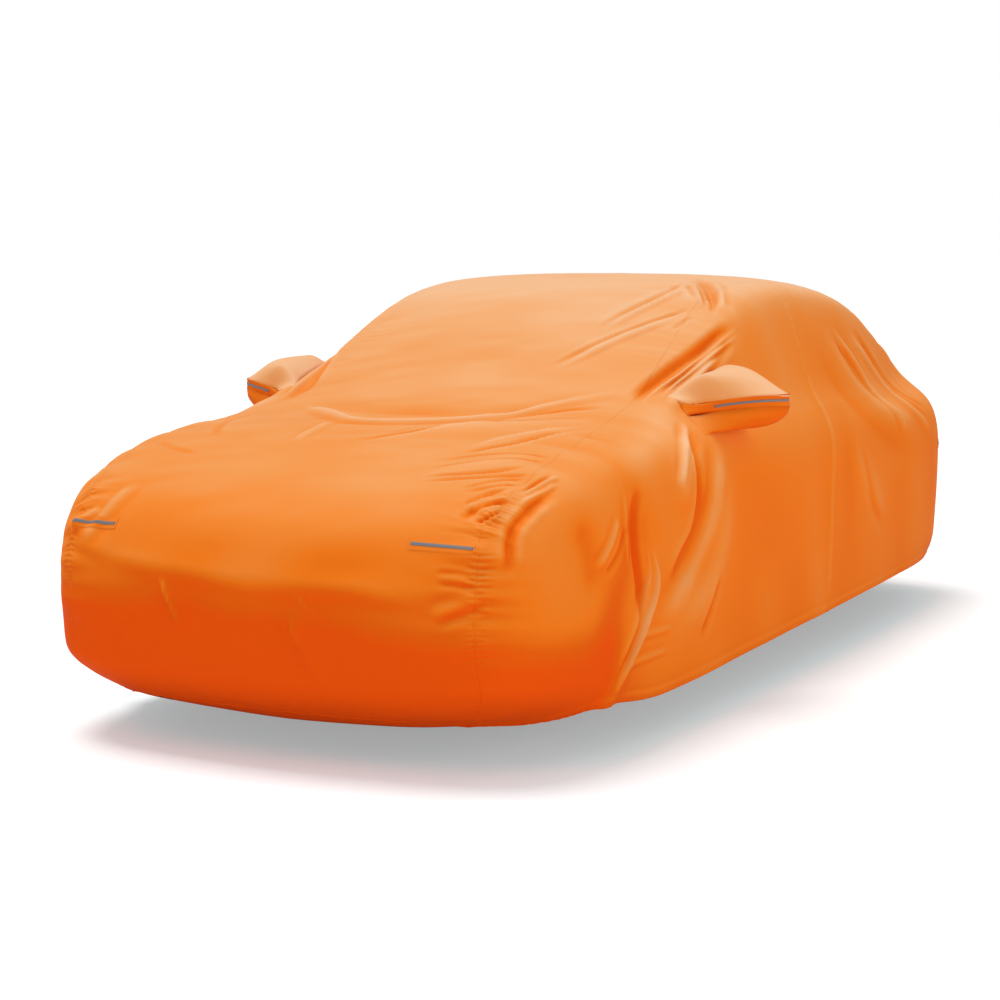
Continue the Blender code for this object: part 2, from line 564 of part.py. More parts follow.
def make_sheet(name, grid, material, thickness=CLOTH, lift=0.0, hole=None, crop=None, gap=SEAM_GAP):
    """A closed sheet over a grid of points. Its outer face lies a lift and its thickness above them
    where it is cropped to part of the grid, and on them where it is a whole panel."""
    points, normals = grid
    rows, cells = points.shape[0] - 1, points.shape[1] - 1
    mesh = bmesh.new()
    bmesh.ops.create_grid(mesh, x_segments=cells, y_segments=rows, size=0.5)
    layers = mesh.verts.layers.float_vector
    flat, solid, outward = layers.new("flat"), layers.new("solid"), layers.new("outward")
    for vert in mesh.verts:
        row, column = round((vert.co.y + 0.5) * rows), round((vert.co.x + 0.5) * cells)
        vert[flat] = (column, row, 0.0)
        vert[solid], vert[outward] = points[row, column], normals[row, column]
        vert.co = vert[solid]
    if hole:
        cut = [face for face in mesh.faces if in_hole(face, flat, hole)]
        bmesh.ops.delete(mesh, geom=cut, context="FACES")
    if crop is None:
        for vert, pull in [(vert, drawn_back(vert, solid)) for vert in mesh.verts]:
            vert[solid] = vert[solid] + pull * gap / 2
    bmesh.ops.triangulate(mesh, faces=mesh.faces[:], quad_method="SHORT_EDGE")
    if crop:
        trim_to(mesh, flat, crop)
    top = lift + thickness if crop else 0.0
    made = bmesh.ops.extrude_face_region(mesh, geom=mesh.faces[:])
    inner = {item for item in made["geom"] if isinstance(item, bmesh.types.BMVert)}
    for vert in mesh.verts:
        vert.co = vert[solid] + vert[outward] * (top - thickness if vert in inner else top)
    bmesh.ops.recalc_face_normals(mesh, faces=mesh.faces[:])
    if mesh.calc_volume(signed=True) < 0.0:
        bmesh.ops.reverse_faces(mesh, faces=mesh.faces[:])
    center = sum((vert.co for vert in mesh.verts), Vector()) / len(mesh.verts)
    bmesh.ops.translate(mesh, vec=-center, verts=mesh.verts[:])
    data = bpy.data.meshes.new(name)
    mesh.to_mesh(data)
    mesh.free()
    data.shade_smooth()
    data.set_sharp_from_angle(angle=np.radians(50))
    data.materials.append(material)
    sheet = bpy.data.objects.new(name, data)
    sheet.location = center - Vector(MOUNT)
    bpy.context.collection.objects.link(sheet)
    return sheet


def in_hole(face, flat, hole):
    (low, high), (first, last) = hole
    center = sum((vert[flat] for vert in face.verts), Vector()) / len(face.verts)
    return low < center.y < high and first < center.x < last


def trim_to(mesh, flat, crop):
    """Cuts a sheet along rows and columns of its grid, while it is laid out flat."""
    (low, high), (first, last) = crop
    for vert in mesh.verts:
        vert.co = vert[flat]
    for place, outside in (((first, 0, 0), (-1, 0, 0)), ((last, 0, 0), (1, 0, 0)),
                           ((0, low, 0), (0, -1, 0)), ((0, high, 0), (0, 1, 0))):
        everything = mesh.verts[:] + mesh.edges[:] + mesh.faces[:]
        bmesh.ops.bisect_plane(mesh, geom=everything, dist=1e-5, plane_co=place, plane_no=outside,
                               clear_outer=True)


def drawn_back(vert, solid):
    """For a point on an edge, the direction into the sheet. Inner points stay."""
    if not vert.is_boundary:
        return Vector()
    centers = [sum((corner[solid] for corner in face.verts), Vector()) / len(face.verts)
               for face in vert.link_faces]
    away = sum(centers, Vector()) / len(centers) - vert[solid]
    rim = [edge.other_vert(vert) for edge in vert.link_edges if edge.is_boundary]
    tangent = (rim[0][solid] - rim[1][solid]).normalized()
    if len(vert.link_faces) == 2:
        away -= tangent * away.dot(tangent)
    return away.normalized()


def build():
    cloth = make_material("orange_cloth", CLOTH_COLOR, 0.55)
    reflective = make_material("reflective_tape", REFLECTIVE_COLOR, 0.35)
    _, _, index = columns()
    center = center_grid()
    make_sheet("center_panel", center, cloth)
    for side, word in ((LEFT, "left"), (RIGHT, "right")):
        panel = side_grid(side)
        seam_column = index["side seam"]
        mirror = (index["mirror front"], index["mirror back"])
        front = [part[:, :seam_column + 1] for part in panel]
        rear = [part[:, seam_column:] for part in panel]
        make_sheet(f"side_front_{word}", front, cloth, hole=((MIRROR_ROWS[0], MIRROR_ROWS[-1]), mirror))
        make_sheet(f"side_rear_{word}", rear, cloth)
        make_pocket(side, word, panel[0], mirror, cloth, reflective)
        # Reflective patches: at the front on the middle panel, at the rear on the side panel's corner.
        make_patch(FRONT_PATCH, word, center, side == LEFT, cloth, reflective)
        make_patch(REAR_PATCH, word, panel, True, cloth, reflective)


def make_pocket(side, word, panel, mirror, cloth, reflective):
    points, normals = pocket_grid(side, panel, mirror)
    rungs = POCKET_RUNGS
    parts = {"under": (0, rungs), "gusset": (rungs, rungs + 1), "top": (rungs + 1, 2 * rungs + 1)}
    for part, (low, high) in parts.items():
        block = slice(low, high + 1)
        make_sheet(f"mirror_{part}_{word}", (points[block], normals[block]), cloth, gap=POCKET_GAP)
    tip = points.shape[1] // 2
    make_sheet(f"mirror_strip_{word}", (points, normals), reflective, TRIM, LAY_GAP,
               crop=((rungs + MIRROR_STRIP.low, rungs + MIRROR_STRIP.high),
                     (MIRROR_STRIP.near, tip + MIRROR_STRIP.far)))


def make_patch(patch, word, grid, from_end, cloth, reflective):
    """A patch on a panel, with a reflective strip along its middle."""
    near, far = patch.near, patch.far
    if from_end:
        last = grid[0].shape[1] - 1
        near, far = last - patch.far, last - patch.near
    make_sheet(f"{patch.place}_patch_{word}", grid, cloth, TRIM, LAY_GAP,
               crop=((patch.low, patch.high), (near, far)))
    low, high = (patch.low + (patch.high - patch.low) * part for part in STRIP_PART)
    make_sheet(f"{patch.place}_strip_{word}", grid, reflective, TRIM, 2 * LAY_GAP + TRIM,
               crop=((low, high), (near + STRIP_INSET, far - STRIP_INSET)))


for thing in list(bpy.data.objects):
    bpy.data.objects.remove(thing, do_unlink=True)
CURVES = {side: side_curves(side) for side in (LEFT, RIGHT)}
MOUNT = push_out(np.array((0.0, MOUNT_Y, 2.0))) - np.array((0.0, 0.0, CLOTH))
build()
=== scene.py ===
import bmesh
import bpy
import numpy as np
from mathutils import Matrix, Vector


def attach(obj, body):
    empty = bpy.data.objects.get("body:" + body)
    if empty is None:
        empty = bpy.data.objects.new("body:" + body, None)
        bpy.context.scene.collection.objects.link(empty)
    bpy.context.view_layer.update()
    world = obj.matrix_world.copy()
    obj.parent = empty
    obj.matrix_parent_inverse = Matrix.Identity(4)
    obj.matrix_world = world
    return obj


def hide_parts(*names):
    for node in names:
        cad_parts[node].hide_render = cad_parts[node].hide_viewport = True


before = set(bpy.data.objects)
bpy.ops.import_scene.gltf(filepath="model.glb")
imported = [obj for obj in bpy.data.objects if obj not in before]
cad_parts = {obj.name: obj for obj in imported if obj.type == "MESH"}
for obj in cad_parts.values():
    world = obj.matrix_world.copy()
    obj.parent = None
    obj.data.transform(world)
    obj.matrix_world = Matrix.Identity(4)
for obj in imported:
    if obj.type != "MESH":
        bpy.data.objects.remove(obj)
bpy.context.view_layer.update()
left, right = 1, -1                     # the sign of x on each side of the cover
farAway = 9.0                           # metres, more than any distance on the cover


# The larger or the smaller of two forms, with the corner between them rounded.
def softMax(a, b, radius):
    return 0.5 * (a + b + np.sqrt((a - b) ** 2 + radius ** 2))


def softMin(a, b, radius):
    return 0.5 * (a + b - np.sqrt((a - b) ** 2 + radius ** 2))


def ease(t):
    t = np.clip(t, 0.0, 1.0)
    return t * t * (3.0 - 2.0 * t)


def bothEnds(t, part):
    return ease(t / part) * ease((1.0 - t) / part)


def swell(distance, width, power=2):
    return np.exp(-(distance / width) ** power)


def stacked(*parts):
    return np.stack(np.broadcast_arrays(*parts), axis=-1)


def unit(vectors):
    return vectors / np.linalg.norm(vectors, axis=-1, keepdims=True)


# The form that the cloth is stretched over, as the solids have it: walls, a low top and a high top.
body = {"halfWidth": 0.925, "wideZ": 0.68, "drawIn": 0.34, "middleRound": 0.001,
        "noseY": -2.115, "noseBow": 0.045, "noseZ": 0.532, "noseUnder": 0.38, "noseOver": 0.49,
        "tailY": 2.364, "tailBow": 0.043, "tailZ": 0.78, "tailUnder": 0.25, "tailOver": 0.30,
        "flareY": 1.03, "flare": 0.013, "cornerRadius": 0.165, "topRadius": 0.145,
        "tuckFront": 5.6, "tuckRear": 1.8, "tuckZ": 0.28, "tuckStartY": 1.35, "tuckRun": 0.55}
hood = {"frontY": -2.16, "frontZ": 0.701, "backY": -1.215, "backZ": 0.924, "crown": 0.028,
        "deckZ": 0.887, "deckStartY": 0.2, "deckRun": 1.4, "lipY": 2.11, "lipZ": 0.026, "lipWidth": 0.13}
cabin = {"beltZ": 0.99, "beltHalf": 0.785, "lean": 0.24, "leanBelow": 0.1, "sideBow": 0.05, "sideBowY": 0.2,
         "screenY": -0.785, "screenZ": 1.01, "screenRun": 0.886, "screenRise": 0.428, "screenBow": 0.198,
         "backY": 2.132, "backZ": 1.09, "backRun": 1.08, "backRise": 0.432, "backBow": 0.112,
         "roofZ": 1.379, "roofPeakY": 0.238, "roofFall": 0.047, "roofCrown": 0.019, "ridgeRadius": 0.05,
         "edgeRadius": 0.10, "joinRadius": 0.10, "wallRadius": 0.06, "foot": 0.15, "footRadius": 0.05}
spineFront, spineRear = np.array((0.0, -1.40, 0.52)), np.array((0.0, 1.50, 0.60))   # well inside the form


def acrossOf(x):
    return np.sqrt(x * x + body["middleRound"] ** 2)


# Each form is below zero inside and above zero outside, about in metres.
def wallForm(x, y, z):
    tuck = np.where(y < 0.0, body["tuckFront"], body["tuckRear"]) * np.clip(body["tuckZ"] - z, 0.0, None) ** 2
    tuckSide = tuck * ease((np.abs(y) - body["tuckStartY"]) / body["tuckRun"])
    drawIn = body["drawIn"] * np.clip(z - body["wideZ"], 0.0, None) ** 2
    flare = body["flare"] * np.clip(y - body["flareY"], 0.0, None) ** 2
    side = acrossOf(x) - (body["halfWidth"] + flare - drawIn - tuckSide)
    rise = z - body["noseZ"]
    lean = np.where(rise < 0.0, body["noseUnder"], body["noseOver"]) * rise ** 2
    front = body["noseY"] + body["noseBow"] * x * x + lean + tuck - y
    rise = z - body["tailZ"]
    lean = np.where(rise < 0.0, body["tailUnder"], body["tailOver"]) * rise ** 2
    rear = y - (body["tailY"] - body["tailBow"] * x * x - lean - tuck)
    radius = 2 * body["cornerRadius"]
    return softMax(softMax(side, front, radius), rear, radius)


def topForm(x, y, z):
    t = np.clip((y - hood["frontY"]) / (hood["backY"] - hood["frontY"]), 0.0, 1.0)
    rise = hood["frontZ"] + (hood["backZ"] - hood["frontZ"]) * np.sin(t * np.pi / 2)
    deck = (hood["deckZ"] - hood["backZ"]) * ease((y - hood["deckStartY"]) / hood["deckRun"])
    lip = hood["lipZ"] * swell(y - hood["lipY"], hood["lipWidth"])
    return z - (rise + deck + lip - hood["crown"] * x * x)


def cabinForm(x, y, z):
    rise = np.clip(z - cabin["beltZ"], -cabin["leanBelow"], None)
    bow = cabin["sideBow"] * (y - cabin["sideBowY"]) ** 2
    side = acrossOf(x) - (cabin["beltHalf"] - cabin["lean"] * rise - bow)
    side = side / np.hypot(1.0, cabin["lean"])
    run, up = cabin["screenRun"], cabin["screenRise"]
    foot = cabin["screenY"] + cabin["screenBow"] * x * x
    screen = ((z - cabin["screenZ"]) * run - (y - foot) * up) / np.hypot(run, up)
    run, up = cabin["backRun"], cabin["backRise"]
    foot = cabin["backY"] - cabin["backBow"] * x * x
    back = ((z - cabin["backZ"]) * run + (y - foot) * up) / np.hypot(run, up)
    fall = cabin["roofFall"] * (y - cabin["roofPeakY"]) ** 2
    roof = z - (cabin["roofZ"] - fall - cabin["roofCrown"] * x * x)
    shell = softMax(softMax(screen, back, cabin["ridgeRadius"]), roof, cabin["edgeRadius"])
    shell = softMax(shell, side, cabin["edgeRadius"])
    return softMax(shell, cabin["beltZ"] - cabin["foot"] - z, cabin["footRadius"])


def carForm(points):
    x, y, z = points[..., 0], points[..., 1], points[..., 2]
    walls = wallForm(x, y, z)
    whole = softMax(walls, topForm(x, y, z), body["topRadius"])
    return softMin(whole, softMax(cabinForm(x, y, z), walls, cabin["wallRadius"]), cabin["joinRadius"])


def formNormals(points, step=0.001):
    slopes = [carForm(points + step * axis) - carForm(points - step * axis) for axis in np.eye(3)]
    return unit(stacked(*slopes))


# Where rays from inside leave the form, found by halving.
def reach(starts, directions, farthest=1.8, halvings=24):
    directions = unit(directions)
    near = np.zeros(directions.shape[:-1] + (1,))
    far = np.full_like(near, farthest)
    for _ in range(halvings):
        middle = (near + far) / 2
        inside = (carForm(starts + directions * middle) < 0.0)[..., None]
        near, far = np.where(inside, middle, near), np.where(inside, far, middle)
    return starts + directions * near


def pushOut(guides):
    t = np.clip((guides[..., 1] - spineFront[1]) / (spineRear[1] - spineFront[1]), 0.0, 1.0)
    starts = spineFront + (spineRear - spineFront) * t[..., None]
    return reach(starts, guides - starts)


# Level rays through the points of a plan, each at its own height.
def pushOutLevel(plan, height):
    starts = stacked(0.0, np.clip(plan[:, 1], spineFront[1], spineRear[1]), height)
    return reach(starts, stacked(plan[:, 0], plan[:, 1], height) - starts)


def smoothPath(points, steps=24):
    points = np.asarray(points, float)
    padded = np.vstack([2 * points[0] - points[1], points, 2 * points[-1] - points[-2]])
    t = (np.arange(steps) / steps)[:, None]
    pieces = []
    for a, b, c, d in zip(padded, padded[1:], padded[2:], padded[3:]):
        pieces.append(0.5 * (2 * b + (c - a) * t + (2 * a - 5 * b + 4 * c - d) * t ** 2
                             + (3 * b - a - 3 * c + d) * t ** 3))
    return np.vstack(pieces + [points[-1:]])


def along(curve, key, places):
    return np.stack([np.interp(places, key, curve[:, axis]) for axis in range(3)], axis=-1)


def arcLength(curve):
    return np.concatenate([[0.0], np.cumsum(np.linalg.norm(np.diff(curve, axis=0), axis=1))])


# The long seam from the front hem to the rear hem as x, y, z, and the hem in plan as x, y.
seamLine = [(0.573, -1.80, 0.135), (0.670, -1.96, 0.400), (0.672, -1.93, 0.650), (0.676, -1.84, 0.745),
            (0.690, -1.57, 0.845), (0.662, -1.20, 0.905), (0.624, -0.90, 0.945), (0.614, -0.70, 1.003),
            (0.588, -0.40, 1.133), (0.562, -0.04, 1.282), (0.578, 0.40, 1.335), (0.610, 1.05, 1.285),
            (0.634, 1.45, 1.180), (0.655, 1.90, 0.980), (0.668, 2.18, 0.885), (0.675, 2.30, 0.720),
            (0.670, 2.31, 0.400), (0.590, 2.14, 0.150)]
seamWander = {"amount": 0.012, "turn": 2.1, "endY": 2.0, "endRun": 0.5}     # of the far seam alone
seamEndRun = 0.08                                                           # where it meets the hem's end
hemPlan = [(0.573, -1.80), (0.80, -1.90), (0.98, -1.68), (0.98, -1.2), (0.98, 0.0),
           (0.98, 1.4), (0.98, 1.95), (0.84, 2.25), (0.59, 2.14)]
# Heights of the hem and of the sides' belt line, as y, z.
hemHeights = [(-2.10, 0.150), (-1.78, 0.135), (-1.48, 0.162), (-1.12, 0.134), (-0.40, 0.150),
              (0.40, 0.165), (1.50, 0.180), (2.30, 0.160)]
beltHeights = [(-1.95, 0.650), (-1.72, 0.690), (-1.35, 0.785), (-1.02, 0.875), (-0.68, 0.931),
               (-0.35, 0.946), (0.40, 0.932), (1.30, 0.870), (2.05, 0.790), (2.40, 0.740)]


def heightAt(heights, y):
    line = smoothPath(heights)
    return np.interp(y, line[:, 0], line[:, 1])


def ontoHem(plan):
    return pushOutLevel(plan, heightAt(hemHeights, plan[:, 1]))


def sideCurves(side):
    seam, low = smoothPath(seamLine), smoothPath(hemPlan)
    if side == right:
        fade = ease((seamWander["endY"] - np.abs(seam[:, 1])) / seamWander["endRun"])
        seam[:, 1] += seamWander["amount"] * np.sin(seamWander["turn"] * seam[:, 1]) * fade
    seam[:, 0] *= side
    low[:, 0] *= side
    seam, low = pushOut(seam), ontoHem(low)
    for end in (0, -1):
        fade = np.exp(-np.linalg.norm(seam - seam[end], axis=1) / seamEndRun)[:, None]
        seam = seam + fade * (low[end] - seam[end])
        seam[end] = low[end]
    return seam, low


curves = {side: sideCurves(side) for side in (left, right)}
roofPlace, clothThickness = np.array((0.0, 0.40, 2.0)), 0.003
carRoof = pushOut(roofPlace) - np.array((0.0, 0.0, clothThickness))
print("long seams and hem laid out")

# Stations along a side panel: place, y on the seam, y on the hem, columns after it, fine steps in each.
stations = [("wing nose", -1.84, -1.80, 5, 13), ("wheel front", -1.57, -1.60, 8, 12),
            ("wheel rear", -1.12, -1.12, 8, 11), ("mirror front", -0.665, -0.68, 6, 10),
            ("mirror back", -0.345, -0.37, 10, 12), ("side seam", 0.48, 0.37, 9, 11),
            ("rear wheel", 1.27, 1.25, 10, 11), ("boot corner", 2.18, 2.14, 0, 0)]
beltRow, topRow = 10, 14                # the solids' rows at the belt line and at the long seam
beltShare, aboveShare = 0.81, 0.865     # how far up the seam's front part these rows end
rowShares = np.concatenate([np.linspace(0.0, beltShare, beltRow + 1),
                            np.linspace(aboveShare, 1.0, topRow - beltRow)])
rowSteps = [14] * 10 + [8] + [20] * 3   # fine steps in each row
mirrorRows = (beltRow - 1, beltRow, beltRow + 1, beltRow + 2)
gussetHeight = 0.034
rowRise = 6                             # how fast the panel's ends turn into the rows


# Fine places between the solids' rows or columns.
def finePlaces(steps):
    places = [i + np.arange(count) / count for i, count in enumerate(steps)]
    return np.concatenate(places + [[len(steps)]])


stationIndex = np.cumsum([0] + [s[3] for s in stations[:-1]])
stationAt = {s[0]: int(i) for s, i in zip(stations, stationIndex)}
columnPlaces = finePlaces([s[4] for s in stations for _ in range(s[3])])
rowPlaces = finePlaces(rowSteps)
# The last row under the long seam and the columns by the side seam are finer towards the seam.
crowding = 1.5
lastRow = rowPlaces > topRow - 1
rowPlaces[lastRow] = topRow - (topRow - rowPlaces[lastRow]) ** crowding
sideSeam = stationAt["side seam"]
near = np.abs(columnPlaces - sideSeam) < 1.0
fromSeam = columnPlaces[near] - sideSeam
columnPlaces[near] = sideSeam + np.sign(fromSeam) * np.abs(fromSeam) ** crowding
# The middle panel has every second one of the low rows in front, of the rear rows, and of the columns
# behind the side seam.
lowRows = 4
centerRows = np.concatenate([rowPlaces[rowPlaces < lowRows][::2], rowPlaces[rowPlaces >= lowRows]])
rearRows = rowPlaces[::2]
behind = columnPlaces >= sideSeam
centerColumns = np.concatenate([columnPlaces[~behind], columnPlaces[behind][::2]])
# Across it the steps widen from the seams, as parts of half its width, and are even after that.
halfParts, evenSteps = 650.0, 48
edgeSteps = np.cumsum([0, 3, 3, 3, 4, 4, 5, 6, 7, 8]) / halfParts
centerHalf = np.concatenate([edgeSteps, np.linspace(edgeSteps[-1], 1.0, evenSteps + 1)[1:]])
acrossPlaces = np.concatenate([-1 + centerHalf, (1 - centerHalf[:-1])[::-1]])
seamTurnZ = 0.60                        # the long seam is upright below this


# The seam's upright front part, its top part and its upright rear part, at these rows and columns.
def seamParts(seam, rows, columns, endRows):
    seamY = np.interp(columns, stationIndex, [s[1] for s in stations])
    shares, endShares = (np.interp(r, np.arange(topRow + 1), rowShares) for r in (rows, endRows))
    middle = len(seam) // 2
    upright = farAway * (seam[:, 2] < seamTurnZ)
    front = np.argmin(np.abs(seam[:middle, 1] - seamY[0]) + upright[:middle])
    rear = middle + np.argmin(np.abs(seam[middle:, 1] - seamY[-1]) + upright[middle:])
    frontPart, topPart, rearPart = seam[:front + 1], seam[front:rear + 1], seam[rear:]
    length = arcLength(frontPart)
    frontPart = along(frontPart, length, shares * length[-1])
    length = arcLength(rearPart)
    rearPart = along(rearPart, length, (1.0 - endShares[::-1]) * length[-1])
    places = np.clip(seamY, topPart[0, 1], topPart[-1, 1])
    places[0], places[-1] = topPart[0, 1], topPart[-1, 1]
    return frontPart, along(topPart, topPart[:, 1], places), rearPart


hemBow = 0.3                            # how far the end hems bow out between the seams, off the form


def centerPoints():
    across = acrossPlaces[None, :, None]
    edges = []
    for side in (right, left):
        front, top, rear = seamParts(curves[side][0], centerRows, centerColumns, rearRows)
        edges.append(np.vstack([front[:-1], top[:-1], rear]))
    far, close = edges
    middle = pushOut((far + close) / 2)
    rows = (far[:, None] * (across ** 2 - across) + close[:, None] * (across ** 2 + across)) / 2
    rows = pushOut(rows + middle[:, None] * (1.0 - across ** 2))
    for end in (0, -1):
        plan = (far[end] + (close[end] - far[end]) * (across[0] + 1) / 2)[:, :2]
        plan[:, 1] += np.sign(plan[0, 1]) * hemBow
        rows[end] = ontoHem(plan)
    rows[:, 0], rows[:, -1] = far, close
    return rows


def beltLine(low, top, rise):
    plan = (low + 3 * top) / 4
    return pushOutLevel(plan, heightAt(beltHeights, plan[:, 1]) + rise)


def sidePoints(side):
    seam, hemCurve = curves[side]
    front, top, rear = seamParts(seam, rowPlaces, columnPlaces, rowPlaces)
    rear = rear[::-1]
    hemY = np.interp(columnPlaces, stationIndex, [s[2] for s in stations])
    low = along(hemCurve, hemCurve[:, 1], np.clip(hemY, hemCurve[0, 1], hemCurve[-1, 1]))
    low[0], low[-1] = hemCurve[0], hemCurve[-1]
    belt, above = beltLine(low, top, 0.0), beltLine(low, top, gussetHeight)
    s = arcLength(top)[:, None]
    s = s / s.max()
    rows = np.zeros((len(rowPlaces), len(top), 3))
    for i, row in enumerate(rowPlaces):
        if row <= beltRow:
            a, b, t = low, belt, row / beltRow
        elif row <= beltRow + 1:
            a, b, t = belt, above, row - beltRow
        else:
            a, b, t = above, top, (row - beltRow - 1) / (topRow - beltRow - 1)
        ruled = a * (1 - t) + b * t
        rows[i] = ruled + (front[i] - ruled[0]) * (1 - s) ** rowRise + (rear[i] - ruled[-1]) * s ** rowRise
    rows = pushOut(rows)
    rows[0], rows[-1] = low, top
    rows[:, 0], rows[:, -1] = front, rear
    return rows


# Folds. A path is drawn as seen from the side (y, z), from the top (x, y) or from the front (x, z).
# The main folds are those of the solids: name, width, lift, "start" where only that end fades, path.
mainFolds = {
    ("side", left): [
        ("wheel ridge", 0.036, 0.016, "start",
         [(-1.21, 0.60), (-1.21, 0.50), (-1.25, 0.41), (-1.36, 0.31), (-1.46, 0.20), (-1.49, 0.13)]),
        ("wheel trough", 0.045, -0.020,
         [(-1.27, 0.80), (-1.315, 0.68), (-1.315, 0.58), (-1.29, 0.46), (-1.32, 0.36)]),
        ("corner hollow", 0.050, -0.012, [(-1.64, 0.72), (-1.60, 0.60), (-1.57, 0.46)]),
        ("pillar trough", 0.032, -0.018, [(-0.78, 0.975), (-0.58, 1.047), (-0.34, 1.127), (-0.02, 1.208)]),
        ("pillar ridge", 0.032, 0.012, [(-0.80, 0.935), (-0.61, 0.992), (-0.44, 1.050), (-0.16, 1.140)]),
        ("mirror front ridge", 0.045, 0.011, [(-0.83, 0.89), (-0.93, 0.79), (-1.03, 0.66)]),
        ("mirror foot ridge", 0.075, 0.016, [(-0.62, 0.84), (-0.70, 0.53), (-0.86, 0.38), (-1.21, 0.33)]),
        ("door hollow", 0.060, -0.012, [(-0.82, 0.78), (-0.86, 0.56), (-1.02, 0.44)]),
        ("rear long fold", 0.055, 0.014, [(0.78, 1.17), (1.13, 0.86), (1.65, 0.73)]),
        ("rear long hollow", 0.060, -0.010, [(0.62, 1.10), (0.98, 0.78), (1.50, 0.64)]),
        ("rear soft ridge", 0.070, 0.010, [(0.63, 0.77), (0.86, 0.58), (1.07, 0.40)]),
    ],
    ("side", right): [
        ("far wheel ridge", 0.040, 0.017, "start",
         [(-1.34, 0.74), (-1.33, 0.55), (-1.37, 0.34), (-1.43, 0.13)]),
        ("far wheel trough", 0.050, -0.014, [(-1.43, 0.70), (-1.42, 0.52), (-1.47, 0.32)]),
        ("far pillar trough", 0.040, -0.018, [(-0.92, 0.93), (-0.70, 1.00), (-0.34, 1.10), (-0.04, 1.18)]),
        ("far pillar ridge", 0.040, 0.011, [(-0.96, 0.88), (-0.66, 0.965), (-0.32, 1.06)]),
        ("far mirror ridge", 0.080, 0.014, [(-0.56, 0.84), (-0.62, 0.56), (-0.80, 0.35)]),
        ("far rear fold", 0.060, 0.013, [(0.84, 1.14), (1.20, 0.85), (1.70, 0.72)]),
        ("far rear ridge", 0.075, 0.010, [(0.60, 0.74), (0.82, 0.53), (1.00, 0.35)]),
    ],
    ("top", left): [
        ("roof tuck", 0.040, -0.018, [(0.39, 0.32), (0.495, 0.165), (0.56, 0.05), (0.63, -0.13)]),
        ("roof tuck lip", 0.034, 0.009, [(0.38, 0.20), (0.46, 0.09), (0.535, -0.04), (0.58, -0.12)]),
        ("screen fold high", 0.040, 0.009, [(0.47, 0.08), (0.38, -0.15), (0.30, -0.38)]),
        ("screen fold low", 0.040, 0.009, [(0.55, -0.18), (0.42, -0.39), (0.27, -0.61)]),
        ("cowl hollow", 0.070, -0.012, [(-0.54, -0.86), (-0.20, -1.03), (0.20, -1.02), (0.56, -0.85)]),
        ("cowl ridge", 0.045, 0.010, [(-0.48, -1.04), (-0.27, -1.14), (-0.10, -1.28)]),
        ("hood fold long", 0.045, 0.011, [(0.62, -0.96), (0.38, -1.23), (0.08, -1.50)]),
        ("hood fold middle", 0.045, 0.010, [(0.63, -1.08), (0.55, -1.32), (0.45, -1.55)]),
        ("hood fold front", 0.045, 0.009, [(0.67, -1.50), (0.53, -1.66), (0.37, -1.79)]),
    ],
    ("front", left): [
        ("nose crease", 0.045, 0.012, [(-0.62, 0.585), (-0.24, 0.563), (0.34, 0.542), (0.68, 0.532)]),
        ("nose hollow", 0.080, -0.009, [(-0.58, 0.47), (-0.10, 0.45), (0.50, 0.44)]),
        ("number fold", 0.030, 0.010, [(-0.29, 0.54), (-0.25, 0.45), (-0.21, 0.36)]),
        ("bumper fold", 0.032, 0.010, [(0.14, 0.48), (0.19, 0.37), (0.23, 0.27)]),
    ],
    ("front", right): [
        ("lamp fold", 0.035, 0.011, [(-0.70, 0.66), (-0.60, 0.61), (-0.46, 0.58)]),
    ],
}
mainFade, mainSteps, mainZone = 0.3, 4, 3       # part that fades, steps between points, widths looked at
# A slow wave along the front part of the long seams, which the solids have too.
gather = {"wave": 0.135, "height": 0.004, "reach": 0.085, "startY": -2.05, "endY": -0.95,
          "fadePart": 0.15, "skip": 6}

